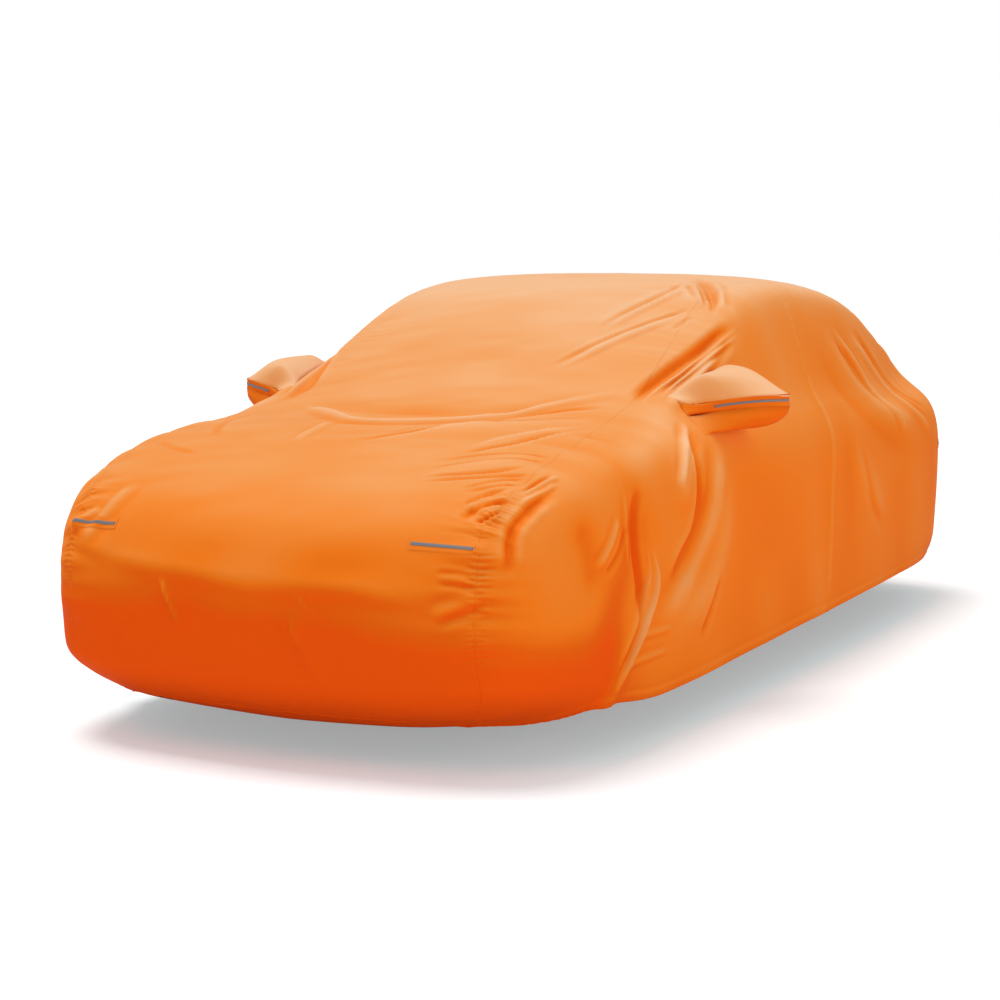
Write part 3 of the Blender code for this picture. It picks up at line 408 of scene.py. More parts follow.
# Sharper creases on them: name, width, lift, lean where it has one, path. A lean makes one flank steep.
creases = {
    ("side", left): [
        ("pillar dark", 0.019, -0.010,
         [(-0.80, 0.965), (-0.68, 1.011), (-0.58, 1.047), (-0.46, 1.089), (-0.34, 1.126), (-0.20, 1.169),
          (-0.06, 1.205)]),
        ("pillar fold", 0.0075, 0.006,
         [(-0.79, 0.965), (-0.65, 1.013), (-0.56, 1.041), (-0.47, 1.071), (-0.37, 1.104), (-0.23, 1.144),
          (-0.03, 1.191)]),
        ("pillar line", 0.006, -0.0035,
         [(-0.74, 0.978), (-0.54, 1.041), (-0.38, 1.094), (-0.21, 1.141), (-0.04, 1.183)]),
        ("pillar fold low", 0.0075, 0.005,
         [(-0.74, 0.970), (-0.565, 1.028), (-0.43, 1.070), (-0.33, 1.102), (-0.06, 1.173)]),
        ("pillar line low", 0.010, -0.005,
         [(-0.65, 0.993), (-0.47, 1.051), (-0.37, 1.083), (-0.20, 1.131)]),
        ("mirror wedge", 0.020, 0.007, [(-0.72, 0.955), (-0.60, 0.996), (-0.44, 1.050), (-0.26, 1.110)]),
        ("wedge dark", 0.016, -0.006, [(-0.47, 1.025), (-0.285, 1.094), (-0.14, 1.148)]),
        ("mirror ridge", 0.014, 0.008, 0.4, [(-0.72, 0.918), (-0.90, 0.838), (-1.02, 0.731)]),
        ("mirror hollow", 0.022, -0.010, 0.3,
         [(-0.69, 0.900), (-0.82, 0.835), (-0.845, 0.760), (-0.865, 0.670), (-0.925, 0.583), (-1.02, 0.520),
          (-1.11, 0.441)]),
        ("broad ridge", 0.036, 0.009, 0.5,
         [(-0.61, 0.853), (-0.715, 0.74), (-0.765, 0.64), (-0.855, 0.537), (-0.995, 0.444),
          (-1.22, 0.339)]),
        ("wheel dark", 0.020, -0.011,
         [(-1.26, 0.775), (-1.314, 0.69), (-1.322, 0.61), (-1.305, 0.538), (-1.292, 0.475), (-1.31, 0.39)]),
        ("wheel edge", 0.011, 0.005, [(-1.36, 0.765), (-1.39, 0.67), (-1.392, 0.60), (-1.385, 0.53)]),
        ("wheel fold", 0.0085, 0.009,
         [(-1.22, 0.60), (-1.206, 0.508), (-1.238, 0.423), (-1.30, 0.360), (-1.358, 0.307), (-1.438, 0.236),
          (-1.475, 0.17)]),
        ("wheel fold short", 0.0065, 0.005,
         [(-1.248, 0.59), (-1.242, 0.513), (-1.27, 0.445), (-1.30, 0.387)]),
        ("wheel fold dark", 0.010, -0.007,
         [(-1.262, 0.50), (-1.30, 0.40), (-1.372, 0.318), (-1.455, 0.235)]),
        ("wheel lip", 0.013, 0.006, 0.3, [(-1.43, 0.70), (-1.484, 0.63), (-1.565, 0.554)]),
        ("wheel lip dark", 0.012, -0.005, [(-1.39, 0.67), (-1.445, 0.59), (-1.524, 0.535)]),
        ("sill line high", 0.010, 0.003, [(-1.34, 0.337), (-1.215, 0.330), (-1.07, 0.328)]),
        ("sill line low", 0.010, 0.003, [(-1.45, 0.260), (-1.30, 0.262), (-1.08, 0.263)]),
        ("wing dark", 0.016, -0.012,
         [(-1.64, 0.792), (-1.729, 0.765), (-1.794, 0.735), (-1.839, 0.705), (-1.868, 0.669),
          (-1.885, 0.627), (-1.90, 0.57)]),
        ("wing fold high", 0.009, 0.006, [(-1.76, 0.777), (-1.67, 0.804), (-1.59, 0.822)]),
        ("wing fold low", 0.009, 0.005, [(-1.79, 0.755), (-1.705, 0.784), (-1.62, 0.808)]),
        ("wing line", 0.007, -0.004, [(-1.74, 0.785), (-1.67, 0.810), (-1.61, 0.822)]),
        ("door line", 0.022, -0.006, [(-0.71, 0.44), (-0.78, 0.34), (-0.86, 0.25)]),
        ("rear ridge", 0.022, 0.009, 0.6, [(0.94, 1.15), (1.17, 1.00), (1.27, 0.85), (1.40, 0.72)]),
        ("rear dark", 0.014, -0.004, [(0.93, 1.12), (1.08, 0.98), (1.17, 0.86)]),
        ("rear shoulder", 0.026, 0.008, -0.5, [(1.20, 1.13), (1.45, 0.98), (1.62, 0.82), (1.85, 0.70)]),
        ("rear shoulder dark", 0.020, -0.005, [(1.30, 1.16), (1.55, 0.99), (1.72, 0.86), (1.90, 0.78)]),
        ("rear door dark", 0.028, -0.004, 0.4, [(0.72, 0.76), (0.83, 0.60), (0.905, 0.48), (1.05, 0.39)]),
    ],
    ("top", left): [
        ("tuck dark", 0.010, -0.006,
         [(0.39, 0.33), (0.495, 0.165), (0.556, 0.057), (0.60, -0.026), (0.632, -0.135)]),
        ("tuck lip", 0.013, 0.008, [(0.44, 0.32), (0.535, 0.17), (0.60, 0.05), (0.645, -0.06)]),
        ("tuck loop", 0.009, 0.008, [(0.455, 0.14), (0.50, 0.06), (0.545, -0.02), (0.585, -0.09)]),
        ("tuck line", 0.007, -0.005, [(0.45, 0.10), (0.49, 0.03), (0.54, -0.055)]),
        ("tuck loop far", 0.010, 0.005, [(0.42, 0.11), (0.465, 0.02), (0.51, -0.06)]),
        ("screen dark high", 0.0106, -0.0065, 0.4,
         [(0.31, -0.37), (0.367, -0.224), (0.406, -0.12), (0.432, -0.01), (0.428, 0.20)]),
        ("screen light high", 0.0106, 0.0052,
         [(0.335, -0.38), (0.392, -0.23), (0.431, -0.125), (0.458, -0.02), (0.455, 0.15)]),
        ("screen dark low", 0.0114, -0.0078, 0.4,
         [(0.25, -0.65), (0.325, -0.524), (0.389, -0.409), (0.458, -0.298), (0.513, -0.205),
          (0.554, -0.12)]),
        ("screen light low", 0.0106, 0.0052,
         [(0.28, -0.67), (0.354, -0.54), (0.418, -0.425), (0.485, -0.315), (0.54, -0.22)]),
        ("screen short", 0.009, -0.003, [(0.560, -0.30), (0.568, -0.235), (0.584, -0.17)]),
        ("hood light", 0.0123, 0.0065, 0.3,
         [(0.43, -1.53), (0.500, -1.400), (0.544, -1.269), (0.60, -1.05)]),
        ("hood fold 1", 0.0106, -0.0104, 0.4,
         [(0.43, -1.58), (0.526, -1.468), (0.560, -1.368), (0.61, -1.17)]),
        ("hood fold 2", 0.0075, -0.0059, 0.3,
         [(0.38, -1.66), (0.500, -1.571), (0.594, -1.523), (0.68, -1.50)]),
        ("hood fold 3", 0.0075, -0.0059, 0.3,
         [(0.38, -1.72), (0.514, -1.629), (0.610, -1.577), (0.69, -1.53)]),
        ("hood fold 4", 0.0075, -0.0059, 0.3,
         [(0.40, -1.77), (0.511, -1.721), (0.586, -1.671), (0.665, -1.60)]),
        ("hood fold 5", 0.007, -0.0052, 0.3,
         [(0.40, -1.80), (0.561, -1.721), (0.630, -1.677), (0.69, -1.64)]),
        ("hood fold 6", 0.007, -0.0052, [(0.54, -1.79), (0.612, -1.721), (0.68, -1.66)]),
        ("hood fold 7", 0.0066, -0.0052,
         [(0.545, -1.81), (0.624, -1.750), (0.652, -1.727), (0.69, -1.705)]),
        ("corner fold high", 0.007, -0.0065, [(0.575, -1.86), (0.613, -1.800), (0.67, -1.74)]),
        ("corner fold", 0.011, -0.009, [(0.595, -1.91), (0.624, -1.848), (0.653, -1.808), (0.70, -1.79)]),
        ("corner light", 0.0079, 0.0065, [(0.60, -1.87), (0.632, -1.822), (0.675, -1.775)]),
        ("corner fold low", 0.0062, -0.0052, [(0.635, -1.895), (0.668, -1.856), (0.69, -1.825)]),
        ("cowl light", 0.0194, 0.0104, 0.5,
         [(-0.50, -0.93), (-0.30, -1.13), (-0.12, -1.27), (0.06, -1.28), (0.23, -1.16), (0.37, -0.92),
          (0.60, -0.70)]),
        ("cowl spur", 0.0141, 0.0065, [(-0.16, -1.30), (-0.15, -1.42), (-0.14, -1.57)]),
        ("cowl dark", 0.015, -0.0091, 0.5, [(0.03, -1.55), (0.22, -1.375), (0.40, -0.98), (0.57, -0.85)]),
        ("hood dark", 0.0141, -0.0078, 0.4, [(0.10, -1.46), (0.28, -1.24), (0.57, -0.94)]),
        ("back glass fold 1", 0.018, -0.006, 0.4, [(0.28, 1.50), (0.42, 1.32), (0.56, 1.12)]),
        ("boot hollow", 0.045, -0.007, [(-0.50, 1.98), (-0.10, 1.90), (0.20, 1.91), (0.54, 2.00)]),
        ("boot fold 1", 0.016, 0.006, 0.4, [(0.36, 1.86), (0.50, 1.98), (0.62, 2.08)]),
    ],
    ("front", left): [
        ("strip fold", 0.008, -0.004, 0.3, [(0.57, 0.592), (0.60, 0.591), (0.638, 0.587), (0.672, 0.568)]),
        ("strip fold low", 0.008, -0.0035, [(0.57, 0.562), (0.632, 0.556), (0.68, 0.550)]),
        ("low fold light", 0.016, 0.004, [(0.55, 0.470), (0.62, 0.505), (0.69, 0.530)]),
        ("low fold dark", 0.013, -0.004, [(0.57, 0.440), (0.64, 0.482), (0.70, 0.500)]),
        ("nose edge", 0.024, 0.0025, 0.6,
         [(-0.60, 0.575), (-0.44, 0.572), (-0.28, 0.553), (0.08, 0.534), (0.34, 0.533), (0.46, 0.520),
          (0.66, 0.520)]),
        ("plate fold", 0.010, 0.007, 0.3, [(-0.29, 0.535), (-0.263, 0.462), (-0.21, 0.375)]),
        ("bumper fold short", 0.009, 0.004, [(0.17, 0.515), (0.195, 0.465)]),
        ("bumper fold", 0.011, 0.007, 0.3, [(0.145, 0.45), (0.165, 0.38), (0.195, 0.32), (0.235, 0.265)]),
    ],
    ("front", right): [
        ("far lamp light", 0.018, 0.007, 0.5, [(-0.68, 0.638), (-0.62, 0.67), (-0.57, 0.70)]),
        ("far lamp ridge", 0.022, 0.007, 0.5, [(-0.60, 0.59), (-0.54, 0.69), (-0.50, 0.775)]),
    ],
    ("side", right): [
        ("far pillar fold", 0.014, 0.008, 0.4,
         [(-0.84, 0.95), (-0.60, 1.02), (-0.36, 1.10), (-0.10, 1.17)]),
        ("far pillar dark", 0.018, -0.009, [(-0.80, 0.975), (-0.55, 1.055), (-0.30, 1.13)]),
        ("far mirror fold", 0.018, 0.008, 0.4, [(-0.72, 0.90), (-0.88, 0.80), (-0.98, 0.68)]),
        ("far mirror dark", 0.024, -0.008, [(-0.76, 0.86), (-0.83, 0.74), (-0.90, 0.58), (-1.05, 0.44)]),
        ("far broad ridge", 0.042, 0.010, 0.5,
         [(-0.56, 0.80), (-0.64, 0.62), (-0.78, 0.46), (-1.05, 0.36)]),
        ("far wheel fold", 0.012, 0.010,
         [(-1.31, 0.70), (-1.29, 0.55), (-1.32, 0.42), (-1.38, 0.31), (-1.45, 0.21)]),
        ("far wheel dark", 0.016, -0.010, 0.5, [(-1.37, 0.72), (-1.37, 0.58), (-1.36, 0.44)]),
        ("far wing dark", 0.022, -0.010, 0.3, [(-1.62, 0.80), (-1.76, 0.75), (-1.84, 0.66)]),
        ("far rear ridge", 0.022, 0.009, 0.6, [(0.98, 1.14), (1.22, 0.98), (1.36, 0.80)]),
        ("far rear shoulder", 0.027, 0.011, -0.5, [(1.26, 1.12), (1.52, 0.95), (1.78, 0.74)]),
        ("far rear door", 0.028, -0.004, 0.3, [(0.66, 0.80), (0.80, 0.62), (0.96, 0.44)]),
    ],
    ("top", right): [
        ("far hood fold 1", 0.0141, -0.004, 0.4, [(-0.44, -1.52), (-0.54, -1.34), (-0.60, -1.04)]),
        ("far hood fold 2", 0.0123, -0.003, 0.3, [(-0.40, -1.68), (-0.55, -1.61), (-0.66, -1.52)]),
        ("back glass fold 2", 0.018, -0.006, 0.4, [(-0.24, 1.62), (-0.40, 1.40), (-0.57, 1.18)]),
        ("boot fold 2", 0.016, 0.006, 0.4, [(-0.34, 1.84), (-0.50, 1.96), (-0.62, 2.06)]),
    ],
}
# How a crease runs out at its ends, and the dip and the lean beside it in its own widths.
creaseShape = {"fade": 0.22, "steps": 5, "zone": 4, "dip": 0.32, "dipPlace": 1.7, "dipWidth": 0.9,
               "leanWidth": 1.4}

# Broad bands of painted shade and painted light, where the cloth is painted deeper or paler in colour: name,
# width, painted tone, path.
paintedShadeAndLight = {
    ("side", left): [
        ("wheel arch", 0.070, -0.20,
         [(-1.33, 0.76), (-1.372, 0.638), (-1.42, 0.53), (-1.49, 0.40), (-1.53, 0.27), (-1.54, 0.14)]),
        ("shoulder", 0.060, 0.14, [(-0.70, 0.975), (-0.86, 0.915), (-1.10, 0.865), (-1.34, 0.82)]),
        ("mirror foot", 0.045, 0.12, [(-0.80, 0.89), (-0.93, 0.81), (-1.03, 0.74)]),
    ],
    ("side", right): [
        ("far wheel arch", 0.070, -0.16, [(-1.34, 0.76), (-1.40, 0.60), (-1.46, 0.42), (-1.52, 0.22)]),
        ("far shoulder", 0.060, 0.12, [(-0.72, 0.965), (-0.96, 0.89), (-1.30, 0.82)]),
    ],
}
shadeFade, shadeSteps, shadeZone = 0.2, 5, 2.5

insideAt = {"side": 0.0, "top": 0.55, "front": -1.4}       # depths between which a path meets the form
outsideAt = {"side": 0.95, "top": 1.6, "front": -2.3}


def foldPath(seen, side, path, steps):
    first, second = smoothPath(path, steps=steps).T

    def atDepth(depth):
        places = {"side": (side * depth, first, second), "top": (first, second, depth),
                  "front": (first, depth, second)}
        return stacked(*places[seen])

    starts = atDepth(insideAt[seen])
    return reach(starts, atDepth(outsideAt[seen]) - starts)


# Distance to a path, the side it is on, and how far along it the nearest place is.
def distanceTo(points, normals, path):
    best = np.full(len(points), np.inf)
    where, turn = np.zeros(len(points)), np.ones(len(points))
    for i in range(len(path) - 1):
        start, step = path[i], path[i + 1] - path[i]
        t = np.clip(((points - start) @ step) / (step @ step), 0.0, 1.0)
        offset = points - (start + t[:, None] * step)
        distance = np.linalg.norm(offset, axis=-1)
        closer = distance < best
        best = np.where(closer, distance, best)
        where = np.where(closer, (i + t) / (len(path) - 1), where)
        sided = np.sign(np.einsum("ij,ij->i", np.cross(normals, step), offset))
        turn = np.where(closer, sided, turn)
    return best, turn, where


def nearPath(points, path, reachOut):
    low, high = path.min(axis=0) - reachOut, path.max(axis=0) + reachOut
    return np.all((points > low) & (points < high), axis=-1)


# Each fold's width, size and own value, the points near it, and how they lie to it.
def eachFold(table, points, normals, steps, zone):
    for (seen, side), folds in table.items():
        for _, width, amount, *own, path in folds:
            path = foldPath(seen, side, path, steps)
            close = nearPath(points, path, zone * width)
            distance, turn, t = distanceTo(points[close], normals[close], path)
            yield width, amount, own, close, distance, turn, t


def mainLift(points, normals):
    lift = np.zeros(len(points))
    folds = eachFold(mainFolds, points, normals, mainSteps, mainZone)
    for width, height, own, close, distance, _, t in folds:
        ends = ease(t / mainFade) if own == ["start"] else bothEnds(t, mainFade)
        lift[close] += height * ends * swell(distance, width)
    for side in (left, right):
        seam = curves[side][0]
        part = seam[(seam[:, 1] > gather["startY"]) & (seam[:, 1] < gather["endY"])][::gather["skip"]]
        close = nearPath(points, part, mainZone * gather["reach"])
        distance, _, t = distanceTo(points[close], normals[close], part)
        wave = np.sin(2 * np.pi * t * arcLength(part)[-1] / gather["wave"])
        wave = wave * bothEnds(t, gather["fadePart"]) * swell(distance, gather["reach"])
        lift[close] += gather["height"] * wave
    return lift


def creaseLift(points, normals):
    lift, shape = np.zeros(len(points)), creaseShape
    folds = eachFold(creases, points, normals, shape["steps"], shape["zone"])
    for width, height, own, close, distance, turn, t in folds:
        u = distance * turn / width
        rise = swell(u, 1.0) - shape["dip"] * swell(np.abs(u) - shape["dipPlace"], shape["dipWidth"])
        lean = own[0] if own else 0.0
        step = lean * u * swell(u, shape["leanWidth"])
        lift[close] += height * bothEnds(t, shape["fade"]) * (rise + step)
    return lift


# Painted shade and painted light in broad bands along the paths.
def paintedBandShading(points, normals):
    paintedShading = np.zeros(len(points))
    places = eachFold(paintedShadeAndLight, points, normals, shadeSteps, shadeZone)
    for width, amount, _, close, distance, _, t in places:
        paintedShading[close] += amount * bothEnds(t, shadeFade) * swell(distance, width)
    return paintedShading


latticeSize = {2: 128, 3: 32}           # cells along each axis of a flat or a solid lattice


# Smooth noise from -1 to 1 on a repeating lattice with the given cell size on each axis.
def valueNoise(points, cells, seed):
    scaled = points / np.asarray(cells, float)
    base = np.floor(scaled).astype(int)
    t = ease(scaled - base)
    axes = points.shape[1]
    size = latticeSize[axes]
    lattice = np.random.default_rng(seed).uniform(-1.0, 1.0, (size,) * axes)
    total = np.zeros(len(points))
    for corner in np.ndindex(*([2] * axes)):
        weight = np.prod(np.where(np.array(corner), t, 1 - t), axis=1)
        total += weight * lattice[tuple(((base + corner) % size).T)]
    return total


def lineNoise(s, cell, seed):
    return valueNoise(stacked(np.ravel(s), 0.0), (cell, 1.0), seed).reshape(np.shape(s))


# A wave along a line, whose pitch wanders.
def wandering(s, pitch, cell, seed, shift=0.8):
    return np.sin(2 * np.pi * (s / pitch + shift * lineNoise(s, cell, seed)))


# Broad unevenness, hanging folds on the upright sides and short pulls on the top. Cells are in metres.
uneven = {"seed": 7, "lump": (0.26, 0.26, 0.26), "lumpLift": 0.0022, "hang": (0.15, 0.62), "hangLift": 0.0016,
          "hangRound": 0.8, "hangSlant": 0.25, "sway": (0.5, 0.4), "swayBy": 0.04, "pull": (0.16, 0.05),
          "pullLift": 0.0012, "pullTurn": (0.3, -0.2), "uprightFrom": 0.25, "uprightRun": 0.5}


def softLift(points, normals):
    x, y, z = points.T
    seed, turn = uneven["seed"], uneven["pullTurn"]
    upright = 1.0 - ease((np.abs(normals[:, 2]) - uneven["uprightFrom"]) / uneven["uprightRun"])
    lift = uneven["lumpLift"] * valueNoise(points, uneven["lump"], seed)
    around = y + uneven["hangRound"] * x * np.sign(y)
    sway = uneven["swayBy"] * valueNoise(stacked(around, z), uneven["sway"], seed + 1)
    slanted = stacked(around + uneven["hangSlant"] * z + sway, z)
    lift += upright * uneven["hangLift"] * valueNoise(slanted, uneven["hang"], seed + 2)
    pulls = stacked(x + turn[0] * y, y + turn[1] * x)
    return lift + (1 - upright) * uneven["pullLift"] * valueNoise(pulls, uneven["pull"], seed + 3)


# Small gathers on both sides of the long seam: place along the seam from the front hem, and how strong.
gatherStrength = [(0.0, 0.1), (0.15, 0.2), (0.28, 0.9), (0.36, 1.4), (0.50, 1.8), (0.66, 1.8), (0.80, 1.2),
                  (0.95, 0.5), (1.15, 0.3), (1.60, 0.2), (1.90, 0.35), (2.10, 0.6), (2.30, 0.9), (2.45, 0.6),
                  (2.65, 0.15), (3.6, 0.12), (4.4, 0.2), (4.9, 0.4), (5.2, 0.8), (5.5, 0.7), (6.3, 0.2)]
# Short ones start at the seam, and long ones reach further into the cloth. Both bend and vary.
pucker = {"pitch": 0.0155, "pitchCell": 0.06, "lift": 0.0015, "reach": {"middle": 0.022, "side": 0.042},
          "fall": 2.5, "atSeam": 0.4, "seamRun": 0.006, "size": 0.6, "sizeBy": 0.5, "sizeCell": 0.05,
          "longPitch": 0.052, "longCell": 0.13, "longLift": 0.0011, "longReach": 0.085, "longFall": 1.5,
          "longStart": 0.03, "bend": 0.35, "bendCell": 0.3, "strength": 0.75, "strengthBy": 0.45,
          "strengthCell": 0.11, "seed": 20, "zone": 0.3}


# Gathers that run away from the seam, by the place along it and the distance from it.
def puckerLift(s, d, sheet, seed):
    vary = pucker["strength"] + pucker["strengthBy"] * lineNoise(s, pucker["strengthCell"], seed + 3)
    strength = np.interp(s, *zip(*gatherStrength)) * vary
    bend = s + pucker["bend"] * d * lineNoise(s, pucker["bendCell"], seed)
    small = wandering(bend, pucker["pitch"], pucker["pitchCell"], seed + 1)
    small = small * swell(d, pucker["reach"][sheet], pucker["fall"])
    size = pucker["size"] + pucker["sizeBy"] * lineNoise(bend, pucker["sizeCell"], seed + 4)
    small = small * size * (pucker["atSeam"] + (1.0 - pucker["atSeam"]) * ease(d / pucker["seamRun"]))
    long = wandering(bend, pucker["longPitch"], pucker["longCell"], seed + 2)
    long = long * swell(d, pucker["longReach"], pucker["longFall"]) * ease(d / pucker["longStart"])
    return strength * (pucker["lift"] * small + pucker["longLift"] * long)


# The long seam is a groove, and on the middle panel its allowance shows as a low fell beside it.
seamShape = {"groove": 0.0003, "grooveWidth": 0.0030, "fell": 0.0004, "fellWidth": 0.0045,
             "fellPlace": 0.0085}


def seamLift(d, fell):
    lift = -seamShape["groove"] * swell(d, seamShape["grooveWidth"])
    if fell:
        lift = lift + seamShape["fell"] * swell(d - seamShape["fellPlace"], seamShape["fellWidth"], 4)
    return lift


# The side seam stands up as a soft band with a stitched groove. It is lower over the belt line.
sideBand = {"lift": 0.0045, "width": 0.017, "from": 0.02, "run": 0.1, "highFrom": 0.72, "highRun": 0.15,
            "highLess": 0.6, "groove": 0.0011, "grooveMost": 2.0, "grooveWidth": 0.0035, "wave": 0.0005,
            "pitch": 0.041, "waveCell": 0.1, "waveReach": 0.02, "waveFall": 1.3, "seed": 41,
            "far": 0.1, "zone": 0.15}


def sideSeamLift(s, d):
    high = ease((s - sideBand["highFrom"]) / sideBand["highRun"])
    rise = ease((s - sideBand["from"]) / sideBand["run"]) * (1.0 - sideBand["highLess"] * high)
    fine = wandering(s, sideBand["pitch"], sideBand["waveCell"], sideBand["seed"])
    fine = fine * swell(d, sideBand["waveReach"], sideBand["waveFall"])
    groove = (rise - sideBand["grooveMost"]) * sideBand["groove"] * swell(d, sideBand["grooveWidth"])
    return groove + rise * sideBand["lift"] * swell(d, sideBand["width"], 4) + sideBand["wave"] * fine


# The hem: a casing with a stitched line over it, ruffled by its elastic and rolled under at the edge.
hem = {"casing": 0.0014, "casingAt": 0.014, "casingWidth": 0.010, "stitch": 0.0007, "stitchAt": 0.030,
       "stitchWidth": 0.007, "ruffle": 0.0006, "pitch": 0.030, "pitchCell": 0.09, "pitchShift": 0.9,
       "strength": 0.7, "strengthBy": 0.5, "strengthCell": 0.12, "reach": 0.020, "endRun": 0.08, "zone": 0.3,
       "roll": 0.0045, "rollAngles": (45, 90, 135, 180), "inside": 2.2, "insideRows": (2.0, 5.0)}
hemRows = len(hem["rollAngles"]) + len(hem["insideRows"])


# By the place along the hem and the height over it. There is no ruffle at the hem's ends.
def hemLift(s, h, total, seed):
    ends = ease(s / hem["endRun"]) * ease((total - s) / hem["endRun"])
    wave = wandering(s, hem["pitch"], hem["pitchCell"], seed, hem["pitchShift"])
    wave = wave * (hem["strength"] + hem["strengthBy"] * lineNoise(s, hem["strengthCell"], seed + 1))
    casing = hem["casing"] * swell(h - hem["casingAt"], hem["casingWidth"])
    casing = casing - hem["stitch"] * swell(h - hem["stitchAt"], hem["stitchWidth"])
    return ends * hem["ruffle"] * wave * np.exp(-h / hem["reach"]) + casing


def withHem(points, normals, edge, up, seed):
    s = arcLength(edge)
    wave = hemLift(s[None, :], up, s[-1], seed)
    return points + normals * np.where(up < hem["zone"], wave, 0.0)[..., None]


# Distances along the rows and the columns of a grid of points, from its first row and column.
def gridDistances(points):
    rows = np.linalg.norm(np.diff(points, axis=1), axis=-1)
    columns = np.linalg.norm(np.diff(points, axis=0), axis=-1)
    rows = np.concatenate([np.zeros((len(points), 1)), np.cumsum(rows, axis=1)], axis=1)
    columns = np.concatenate([np.zeros((1, points.shape[1])), np.cumsum(columns, axis=0)], axis=0)
    return rows, columns


def gridNormals(points, side, least=1e-9):
    normals = np.cross(np.gradient(points, axis=1), np.gradient(points, axis=0)) * side
    return normals / np.maximum(np.linalg.norm(normals, axis=-1, keepdims=True), least)


def turnedTo(normals, outward):
    return normals * np.sign(np.sum(normals * outward, axis=-1, keepdims=True))


# Distance from a seam and the place along it, for the points near it. The others count as far away.
def seamPlace(points, seam, far=0.22, skip=8):
    seam = seam[::skip] if len(seam) % skip == 1 else np.vstack([seam[::skip], seam[-1:]])
    d, s = np.full(len(points), farAway), np.zeros(len(points))
    low, high = seam.min(axis=0) - far, seam.max(axis=0) + far
    close = np.flatnonzero(np.all((points > low) & (points < high), axis=-1))
    near, where = points[close], arcLength(seam)
    best, place = np.full(len(close), farAway), np.zeros(len(close))
    for i in range(len(seam) - 1):
        mine = np.flatnonzero(np.abs(near - seam[i]).max(axis=-1) < far)
        start, step = seam[i], seam[i + 1] - seam[i]
        t = np.clip(((near[mine] - start) @ step) / (step @ step), 0.0, 1.0)
        distance = np.linalg.norm(near[mine] - (start + t[:, None] * step), axis=-1)
        closer = distance < best[mine]
        best[mine[closer]] = distance[closer]
        place[mine[closer]] = where[i] + t[closer] * (where[i + 1] - where[i])
    d[close], s[close] = best, place
    return d, s


# Painted shading, how pale a place is painted: painted light by the way it faces and its height, painted
# shade and highlight by the folds' height there, and painted shade on the nose's underside and the low front.
paintedShadingShape = {"side": 0.36, "up": 0.34, "upLeast": -0.3, "high": 0.30, "highFrom": 0.88, "highRun": 0.42,
             "main": 0.35, "noseFrom": -1.75, "noseRun": 0.25, "nose": 0.10, "fold": 28.0, "foldMost": 0.22,
             "low": 0.36, "lowHeight": 0.55, "lowFall": 0.14, "lowFallTo": 0.7, "lowRun": 0.18,
             "lowFromY": -1.15, "lowRunY": 0.6}


def noseFace(points):
    return ease((paintedShadingShape["noseFrom"] - points[..., 1]) / paintedShadingShape["noseRun"])


# Painted light on faces turned up and on high places, painted shade on the nose and the low front, painted
# shade in fold troughs and painted highlight on ridges.
def paintedShadingOf(points, folds, outward):
    shape, x, z = paintedShadingShape, points[..., 0], points[..., 2]
    up = np.clip(turnedTo(gridNormals(points, 1), outward)[..., 2], shape["upLeast"], 1.0)
    paintedShading = shape["side"] + shape["up"] * up
    high = np.clip((z - shape["highFrom"]) / shape["highRun"], 0.0, 1.0)
    paintedShading += shape["high"] * high * np.clip(up, 0.0, 1.0)
    paintedShading -= shape["nose"] * noseFace(points)
    nose = ease((shape["lowFromY"] - points[..., 1]) / shape["lowRunY"])
    height = shape["lowHeight"] - shape["lowFall"] * np.clip(x, 0.0, shape["lowFallTo"])
    paintedShading -= shape["low"] * nose * ease((height - z) / shape["lowRun"])
    return paintedShading + np.clip(shape["fold"] * folds, -shape["foldMost"], shape["foldMost"])


# The sheet's points with all folds, seams and gathers, its outward normals, and what its painted shading
# depends on.
def lifted(points, fell, sideSeams=()):
    shape = points.shape[:2]
    flat = points.reshape(-1, 3)
    normals = formNormals(flat)
    folds = creaseLift(flat, normals) + softLift(flat, normals)
    main = mainLift(flat, normals)
    whole = main + folds
    # The main folds also go into the painted shade and highlight, except on the nose's face.
    folds = folds + paintedShadingShape["main"] * (1.0 - noseFace(flat)) * main
    # Painted shade and painted light in broad bands.
    shade = paintedBandShading(flat, normals)
    for side in (left, right):
        d, s = seamPlace(flat, curves[side][0])
        close = d < pucker["zone"]
        pull = puckerLift(s[close], d[close], "middle" if fell else "side", side + pucker["seed"])
        whole[close] += pull + seamLift(d[close], fell)
        folds[close] += pull
    for line in sideSeams:
        d, s = seamPlace(flat, line, far=sideBand["far"])
        close = d < sideBand["zone"]
        band = sideSeamLift(s[close], d[close])
        whole[close] += band
        folds[close] += band
    normals, whole = normals.reshape(shape + (3,)), whole.reshape(shape + (1,))
    return points + normals * whole, normals, folds.reshape(shape), shade.reshape(shape)


# Rows that turn the hem under: a half round, then a short way up inside.
def rolledHem(points, normals, ends):
    for end in ends:
        edge, out = points[end], normals[end].copy()
        out[:, 2] = 0.0
        out = unit(out)
        down = np.array((0.0, 0.0, hem["roll"]))
        rows = []
        for angle in np.radians(hem["rollAngles"]):
            rows.append(edge - out * hem["roll"] * (1 - np.cos(angle)) - down * np.sin(angle))
        rows += [edge - out * hem["roll"] * hem["inside"] + down * up for up in hem["insideRows"]]
        turned = np.repeat(-out[None], len(rows), axis=0)
        if end == 0:
            points, normals = np.vstack([np.array(rows)[::-1], points]), np.vstack([turned, normals])
        else:
            points, normals = np.vstack([points, np.array(rows)]), np.vstack([normals, turned])
    return points, normals


